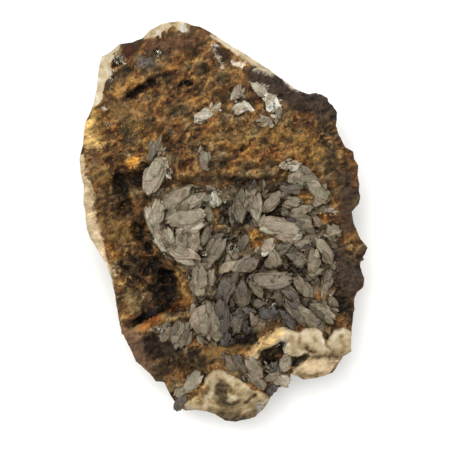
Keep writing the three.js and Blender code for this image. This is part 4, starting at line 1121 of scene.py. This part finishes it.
def cloudy_quartz():
    """Quartz hazy inside, satin on grown faces, iron-stained, with painted glints and shade between crystals.
    """
    material, tree = new_material("cloudy_quartz")
    grain = add(tree, "Attribute", output="Vector", attribute_name="grain")
    tone, hue, depth, edge = (
        add(tree, "Attribute", output="Fac", attribute_name=name)
        for name in ("tone", "hue", "depth", "edge")
    )
    lengthwise = add(tree, "Mapping", {"Vector": grain, "Scale": (1, 0.15, 1)})
    lines = add(tree, "TexNoise", {"Vector": lengthwise, "Scale": LINES, "Detail": 4})
    blotch = add(tree, "TexNoise", {"Vector": grain, "Scale": BLOTCHES, "Detail": 5})
    speck = add(tree, "TexNoise", {"Vector": grain, "Scale": SPECKS, "Detail": 3})

    shade = -0.435
    for share, weight in ((tone, 0.38), (lines, 0.35), (blotch, 0.6), (speck, 0.62), (edge, 0.06)):
        shade = add(tree, "Math", [share, weight, shade], operation="MULTIPLY_ADD")
    grey = add(tree, "ValToRGB", {"Fac": shade}, stops=TAUPE_QUARTZ)
    pinkish = add(tree, "Mix", {0: 1.0, 6: grey, 7: linear("#e6cdbc")}, **TINTED)
    olive = add(tree, "Mix", {0: 1.0, 6: grey, 7: linear("#d8d8bb")}, **TINTED)
    mood = add(tree, "TexNoise", {"Vector": grain, "Scale": CASTS, "Detail": 2})
    mood = add(tree, "Math", [mood, 1.6, hue], operation="MULTIPLY_ADD")
    mood = add(tree, "MapRange", {"Value": mood, "From Min": 0.9, "From Max": 1.7})
    tinted = add(tree, "Mix", {0: mood, 6: pinkish, 7: olive}, data_type="RGBA")
    grey = add(tree, "Mix", {0: 0.7, 6: grey, 7: tinted}, data_type="RGBA")
    rusty = add(tree, "TexNoise", {"Vector": grain, "Scale": RUST_SPOTS, "Detail": 6, "Roughness": 0.7})
    stain = add(tree, "MapRange", {"Value": rusty, "From Min": 0.52, "From Max": 0.75, "To Max": 0.7})
    tawny = add(tree, "Mix", {0: 1.0, 6: grey, 7: linear("#b08a62")}, **TINTED)
    grey = add(tree, "Mix", {0: stain, 6: grey, 7: tawny}, data_type="RGBA")
    # painted glints: sparse white flecks that stand in for sparkles of light on the faces
    glint = add(tree, "TexNoise", {"Vector": grain, "Scale": GLINT_SPOTS, "Detail": 1})
    glint = add(tree, "MapRange", {"Value": glint, "From Min": 0.7, "From Max": 0.78, "To Max": 0.6})
    grey = add(tree, "Mix", {0: glint, 6: grey, 7: linear("#dfe2dc")}, data_type="RGBA")
    # darker with depth under the crystals around: partly dirt and iron, partly painted shade
    dirt_and_shade = add(tree, "MapRange", {"Value": depth, "From Min": 0.7, "From Max": 3.0})
    mottle = add(tree, "Math", [blotch, 1.0, 0.35], operation="MULTIPLY_ADD")
    dirt_and_shade = add(tree, "Math", [dirt_and_shade, mottle], operation="MULTIPLY", use_clamp=True)
    earthy_shade = add(tree, "Mix", {0: 1.0, 6: grey, 7: linear("#705232")}, **TINTED)
    colour = add(tree, "Mix", {0: dirt_and_shade, 6: grey, 7: earthy_shade}, data_type="RGBA")

    relief = add(tree, "Math", [lines, 0.6], operation="MULTIPLY")
    relief = add(tree, "Math", [speck, 0.8, relief], operation="MULTIPLY_ADD")
    bump = add(tree, "Bump", {"Strength": 0.7, "Distance": 0.25 * MM, "Height": relief})
    satin = add(tree, "MapRange", {"Value": blotch, "To Min": 0.25, "To Max": 0.6})
    surface = {"Base Color": colour, "Roughness": satin, "Normal": bump, "IOR": QUARTZ_IOR}
    add(tree, "OutputMaterial", [add(tree, "BsdfPrincipled", surface)])
    return material


cloudy = cloudy_quartz()

# %% Large crystals and sprigs
rng = np.random.default_rng(7)
druses = {}
for group, rows in CRYSTALS.items():
    druses[group] = Druse()
    for row in rows:
        druses[group].grow_bundle(row, rng)
    for sprig in SPRIGS.get(group, []):
        druses[group].grow_sprig(sprig, rng)
print("crystals grown:", sum(len(druse.points) for druse in druses.values()))

# %% [markdown]
# ## The crust between the large crystals
#
# The floor of the hollow isn't bare: crystals of 1 to 6 mm, darker and browner, fill it between the large
# ones and lie much as their neighbours do. Particles would be dropped on export, so they are grown as the
# large ones are, on a jittered grid. They hang a little under the skyline of the large ones, deeper in the
# dark gaps, and leave the rusty patches of rock open. Each point of a crystal is given its depth under the
# crystals around it, and its material darkens it with depth: partly dirt and iron that settle in the gaps,
# partly painted shade.

# %% Dark gaps and the skyline
# dark gaps where the small crystals lie deep and are painted darker, as shade: x1, y1, x2, y2, half width, mm
GAPS = [
    (7, 1.2, 15.5, 5.8, 1.5), (-0.6, 9, 1.4, 5, 1.3), (4.4, 0.4, 2.2, -2.6, 1.6),
    (21.8, -2, 24.4, -3.3, 1.0), (27.4, -5, 30, -7.5, 1.8), (-3.4, -10.8, -0.4, -15.5, 1.6),
    (8.6, -9.2, 11, -12, 1.5), (5.8, -14.5, 7.3, -17.6, 0.9), (8.4, -20, 15.5, -22.5, 2.6),
    (0.9, -22, 1.9, -30, 1.2), (8, -25, 11, -27.6, 1.8), (16, -26.8, 23.6, -27.6, 1.4),
    (13.6, -11.5, 19.4, -12.8, 1.2), (-6, -4.4, -5, -6.6, 1.2), (-1, 4.5, 1.6, -2.8, 1.6),
    (0.5, -2, 4, -8, 2.2), (-17.4, 2, -15.4, -1.4, 0.8), (-22, 7, -17.8, 6.2, 1.0), (2, 10.6, 16, 12, 1.4),
    (4.6, -26.4, 6.4, -29, 1.6), (-1.6, -31, 4, -31, 1.3), (10, -24, 18, -26.6, 1.6),
]
GAP_DEPTH = 2.9  # how much deeper they lie there, mm
SKY_CELL = 0.5  # the skyline's cells, mm
HALF_CELLS = 120  # the skyline's cells from the middle to a side


def cell_of(points):
    """The skyline's cell for each point."""
    return tuple(np.clip((points[:, :2] / SKY_CELL + HALF_CELLS).astype(int), 0, 2 * HALF_CELLS - 1).T)


def skyline_of(parts, times):
    """The mean height of the crystals' upper sides, blurred over the rock between them."""
    sky = np.full((2 * HALF_CELLS, 2 * HALF_CELLS), -np.inf)
    for part in parts:
        for block in part.points:
            np.maximum.at(sky, cell_of(block), block[:, 2])
    cell_x, cell_y = (np.indices(sky.shape) - HALF_CELLS + 0.5) * SKY_CELL
    bare = ~np.isfinite(sky)
    sky[bare] = [cad_height(x, y) or 0.0 for x, y in zip(cell_x[bare], cell_y[bare])]
    return blurred(sky, times)


# %% Spots for the fillers
OCHRE_KEPT = 0.3  # the iron share above which the rock stays bare
FILLER_STEP = 1.15  # spacing of the fillers, mm
crust_rows = np.array(
    [row for group, rows in CRYSTALS.items() if group.startswith("crystal_crust") for row in rows]
)
large_sky = skyline_of(druses.values(), 10)
gx, gy = np.meshgrid(np.arange(-24, 33, FILLER_STEP), np.arange(-36, 17, FILLER_STEP))
spots = np.stack([gx.ravel(), gy.ravel(), np.zeros(gx.size)], axis=-1)
spots[:, :2] += rng.uniform(-0.55, 0.55, (len(spots), 2))
room = inside(spots[:, 0], spots[:, 1], HOLLOW) + 1.2 * octaves(spots, 5.0, 3, seed=161)
spot = rock_marks(spots)[0]
spots = spots[(room > 0) & (spot["iron"] < OCHRE_KEPT) & (spot["cream"] < 0.3)]
print("spots for fillers:", len(spots))


def gap_at(x, y):
    """1 in the middle of a dark gap, 0 outside them."""
    return max(stroke_share(np.array(x), np.array(y), *gap) for gap in GAPS)


def neighbour(x, y):
    """Heading and tone of the nearest large crystal, and how high the skyline stands over the rock."""
    row = crust_rows[np.argmin(np.hypot(crust_rows[:, 0] - x, crust_rows[:, 1] - y))]
    return row[4], row[7], large_sky[cell_of(np.array([[x, y]]))][0] - height_inside(x, y)


# %% Filler crystals
MEDIUM = 260  # spots where a crystal of about 3 to 6 mm may grow among the large ones
druses["crystal_crust between"] = Druse()
for x, y, _ in spots[rng.permutation(len(spots))[:MEDIUM]]:
    if gap_at(x, y) > 0.5:
        continue
    heading, tone, sky = neighbour(x, y)
    length = rng.uniform(2.6, 6.4)
    row = (
        x, y, length, length * rng.uniform(0.28, 0.42), heading + rng.normal(0, 24), rng.uniform(0, 35),
        max(sky - rng.uniform(0.1, 0.8), 0.8), tone + rng.normal(-0.2, 0.3),
    )
    druses["crystal_crust between"].grow(row, rng)
druses["crystal_crust floor"] = Druse()
for x, y, _ in spots:
    heading, tone, sky = neighbour(x, y)
    length = 1.3 + 2.7 * rng.random() ** 2
    gap = gap_at(x, y)
    # in a dark gap the filler lies deeper, and its tone is lowered as painted shade
    row = (
        x, y, length, length * rng.uniform(0.32, 0.55), heading + rng.normal(0, 30), rng.uniform(5, 55),
        max(sky - rng.uniform(0.4, 1.2) - GAP_DEPTH * gap, 0.3), tone + rng.normal(-0.35, 0.3) - 0.5 * gap,
    )
    druses["crystal_crust floor"].grow(row, rng)
print("medium fillers:", len(druses["crystal_crust between"].points))

# %% Depth among the crystals, and the pieces
whole_sky = skyline_of(druses.values(), 24)


def depth_under_neighbours(points):
    """How far each point lies under the mean skyline of the crystals around it, in mm."""
    return whole_sky[cell_of(points)] - points[:, 2]


for group, druse in druses.items():
    declare(druse.piece(group.replace(" ", "_") + "_quartz", cloudy), group.split()[0])

# %% [markdown]
# ## Crumbs of limonite
#
# Weathered limonite falls to angular crumbs of half a millimetre to one and a half, and they cling to the
# face. The rock's grid can't hold edges as sharp as theirs, so they are small bodies of their own, each cut
# by eight planes and sunk in the surface. They take the rock's material, each with a little more or less
# rust.

# %% Crumbs
CRUMBS = 2300
CRUMB_PLANES = 8
surface_tree = BVHTree.FromPolygons(rock_points.tolist(), rock_faces)
crumb_ball, crumb_triangles = spindle_grid(6, 4)
crumb_points, crumb_faces = [], []
crumb_marks = {name: [] for name in marks}
places = rng.uniform((-38, -54, 0), (38, 54, 0), (6 * CRUMBS, 3))
around = rock_marks(places)[0]
wanted = (around["cream"] < 0.2) & (around["crust"] < 0.5) & (rng.random(len(places)) < 0.9 - around["worn"])
for here in np.flatnonzero(wanted):
    x, y = places[here, :2]
    if len(crumb_points) == CRUMBS:
        break
    if cad_height(1.03 * x, 1.03 * y) is None:
        continue
    hit, normal, _, _ = surface_tree.ray_cast(Vector((x, y, ABOVE)), DOWN)
    size = 0.25 + 0.45 * rng.random() ** 2.5
    normals = rng.normal(size=(CRUMB_PLANES, 3))
    normals /= np.linalg.norm(normals, axis=1, keepdims=True)
    facing = np.clip(crumb_ball @ normals.T / rng.uniform(0.6, 1.0, CRUMB_PLANES), 0.55, None)
    lump = crumb_ball / np.power(np.power(facing, 20.0).sum(axis=1), 1 / 20)[:, None]
    lump = lump * size * rng.uniform(0.7, 1.3, 3) + np.array(hit)
    lump = lump + np.array(normal) * size * rng.uniform(-0.3, 0.3)
    crumb_faces.append(crumb_triangles + len(lump) * len(crumb_points))
    crumb_points.append(lump)
    own = {name: around[name][here] for name in around}
    own["iron"] += rng.normal(0, 0.15)
    own |= {"shade": rng.uniform(-0.6, 0.5), "crest": rng.uniform(-0.3, 0.3)}
    for name, kept in crumb_marks.items():
        kept.append(np.repeat([own[name]], len(lump), axis=0))
crumb_faces = np.concatenate(crumb_faces).tolist()
crumbs = new_piece("limonite_crumbs", np.concatenate(crumb_points), crumb_faces, stone, smooth=False)
for name, kept in crumb_marks.items():
    write_numbers(crumbs, name, np.concatenate(kept))
declare(crumbs, "matrix")
print("crumbs:", len(crumb_points))

# %% [markdown]
# ## Clear quartz points
#
# The last quartz to grow is clear: six-sided points about half a millimetre wide, in small patches that
# glint among milky ones. They are prisms closed by pyramids a little steeper than quartz's own 52 degrees,
# so that they still read as points at this size. Glass would bend light less, so they have quartz's index
# of refraction, 1.544, with plain transmission, and a slight haze where their faces are etched.

# %% Clear quartz points
# x, y, radius of the patch, number of points, height of its middle over the rock: mm
GLINTS = [
    (-2.4, 6.8, 1.3, 8, 3.4), (2.2, -6.5, 1.6, 22, 2.6), (-15, 14.2, 0.9, 9, 1.4),
    (-16.5, 17.5, 1.2, 10, 1.4), (12.5, 31.6, 0.9, 8, 1.5), (10.5, -20.8, 1.0, 8, 2.4),
    (13.2, -22.4, 1.2, 10, 2.2), (15.1, -20.3, 0.9, 7, 2.6), (27.5, 4.1, 0.9, 7, 1.6),
    (-2.4, -29.7, 0.9, 7, 2.6), (18.9, -10.3, 0.9, 7, 2.8), (17.8, 14.9, 0.9, 7, 1.4),
    (-17.5, -28.2, 0.9, 7, 1.2), (-5.4, -7.6, 0.7, 5, 3.4), (31, -12, 0.8, 5, 0.6),
    (-17.6, 45.5, 1.0, 8, 0.4), (-28.5, 44, 1.3, 10, 0.4), (-31, 26.5, 1.2, 8, 0.4), (4, 43.8, 0.9, 6, 0.4),
]
HAZE_SCALE = 1 / (0.8 * MM)
# height of the pyramid for each mm from the axis to a corner of the prism
PYRAMID_RISE = 1.1 / math.cos(math.pi / 6)


def clear_quartz():
    """Clear quartz, with grown faces that are partly etched."""
    material, tree = new_material("clear_quartz")
    place = add(tree, "TexCoord", output="Object")
    haze = add(tree, "TexNoise", {"Vector": place, "Scale": HAZE_SCALE})
    rough = add(tree, "MapRange", {"Value": haze, "To Min": 0.02, "To Max": 0.16})
    surface = {"Base Color": linear("#eef4f2"), "Roughness": rough, "IOR": QUARTZ_IOR}
    surface["Transmission Weight"] = 1.0
    add(tree, "OutputMaterial", [add(tree, "BsdfPrincipled", surface)])
    return material


def quartz_point(half_width, length):
    """A six-sided prism with a pyramid on it, from its foot at the origin up Z."""
    turn = np.arange(6) * math.pi / 3
    ring = np.stack([np.cos(turn), np.sin(turn), np.zeros(6)], axis=-1) * half_width
    shoulder = length - PYRAMID_RISE * half_width
    tip = [[0, 0, length], [0, 0, 0]]
    faces = [(k, (k + 1) % 6, 6 + (k + 1) % 6, 6 + k) for k in range(6)]
    faces += [(6 + k, 6 + (k + 1) % 6, 12) for k in range(6)] + [((k + 1) % 6, k, 13) for k in range(6)]
    return np.concatenate([ring, ring + [0, 0, shoulder], tip]), faces


def within(x, y, radius):
    """A random place in a round patch."""
    away = radius * math.sqrt(rng.random())
    turn = rng.uniform(0, 2 * math.pi)
    return x + away * math.cos(turn), y + away * math.sin(turn)


milky = Druse()
clear_points, clear_faces = [], []
for x, y, radius, number, rise in GLINTS:
    for _ in range(number):
        row = (
            *within(x, y, radius), rng.uniform(0.9, 1.5), rng.uniform(0.55, 0.85), rng.uniform(0, 360),
            rng.uniform(20, 80), rise - 0.2, rng.uniform(0.8, 1.3),
        )
        milky.grow(row, rng)
    for _ in range(number // 2):
        px, py = within(x, y, radius)
        block, faces = quartz_point(rng.uniform(0.22, 0.42), rng.uniform(0.9, 1.6) + 0.5)
        lean = Vector((rng.normal(0, 0.25), rng.normal(0, 0.25), 1)).to_track_quat("Z", "Y").to_matrix()
        start = len(block) * len(clear_points)
        clear_faces += [[start + corner for corner in face] for face in faces]
        clear_points.append(block @ np.array(lean).T + [px, py, height_inside(px, py) + rise - 0.6])
clear_points = np.concatenate(clear_points)
declare(milky.piece("milky_quartz_points", cloudy), "crystal_crust")
clear = new_piece("clear_quartz_points", clear_points, clear_faces, clear_quartz(), smooth=False)
declare(clear, "crystal_crust")
print("corners of the clear points:", len(clear_points))

# %% [markdown]
# ## Floor, light and camera
#
# The specimen is looked at from straight above on a pale floor. Bare daylight would cut hard shadows into
# every pit, so one large soft light stands at the upper left, with a weaker one opposite and a pale
# surround. The lens is a 135 mm on a full-frame sensor, so far off that the sides don't lean into view.

# %% Floor, light and camera
COVERED = 121.5  # width of the view, mm
FACE_LEVEL = 28.0  # the height at which that width is measured, near the level of the face, mm
LENS, SENSOR = 135.0, 36.0  # mm
SPECK_SCALE = 1 / (3.0 * MM)  # the card's tone changes over about 3 mm

scene = bpy.context.scene
scene.view_settings.view_transform = "Standard"


def pale_matt_board():
    """Uncoated card: its short fibres scatter all light, with hardly any change of tone."""
    material, tree = new_material("pale_matt_board")
    place = add(tree, "TexCoord", output="Object")
    speck = add(tree, "TexNoise", {"Vector": place, "Scale": SPECK_SCALE})
    colour = add(tree, "ValToRGB", {"Fac": speck}, stops=[(0.3, "#f6f5f2"), (0.7, "#f8f7f5")])
    add(tree, "OutputMaterial", [add(tree, "BsdfPrincipled", {"Base Color": colour, "Roughness": 0.9})])
    return material


bpy.ops.mesh.primitive_plane_add(size=4)
floor = bpy.context.object
floor.name = "floor"
floor.data.materials.append(pale_matt_board())


def soft_light(name, place, size, power):
    """A square area light that faces the specimen."""
    lamp = bpy.data.lights.new(name, "AREA")
    lamp.size = size
    lamp.energy = power
    light = bpy.data.objects.new(name, lamp)
    light.location = place
    light.rotation_euler = (Vector((0, 0, 0.02)) - Vector(place)).to_track_quat("-Z", "Y").to_euler()
    scene.collection.objects.link(light)


soft_light("key", (-0.14, 0.22, 0.95), 0.5, 7.6)
soft_light("fill", (0.35, -0.25, 0.9), 1.0, 3.5)

world = bpy.data.worlds.new("pale_surround")
world.use_nodes = True
background = world.node_tree.nodes["Background"]
background.inputs["Color"].default_value = linear("#f4f6f8")
background.inputs["Strength"].default_value = 0.62
scene.world = world

camera_data = bpy.data.cameras.new("camera")
camera_data.lens = LENS
camera_data.sensor_width = SENSOR
camera = bpy.data.objects.new("camera", camera_data)
camera.location = (0, 0, (FACE_LEVEL + COVERED * LENS / SENSOR) * MM)
scene.collection.objects.link(camera)
scene.camera = camera
print("camera height, mm:", round(camera.location.z / MM, 1))
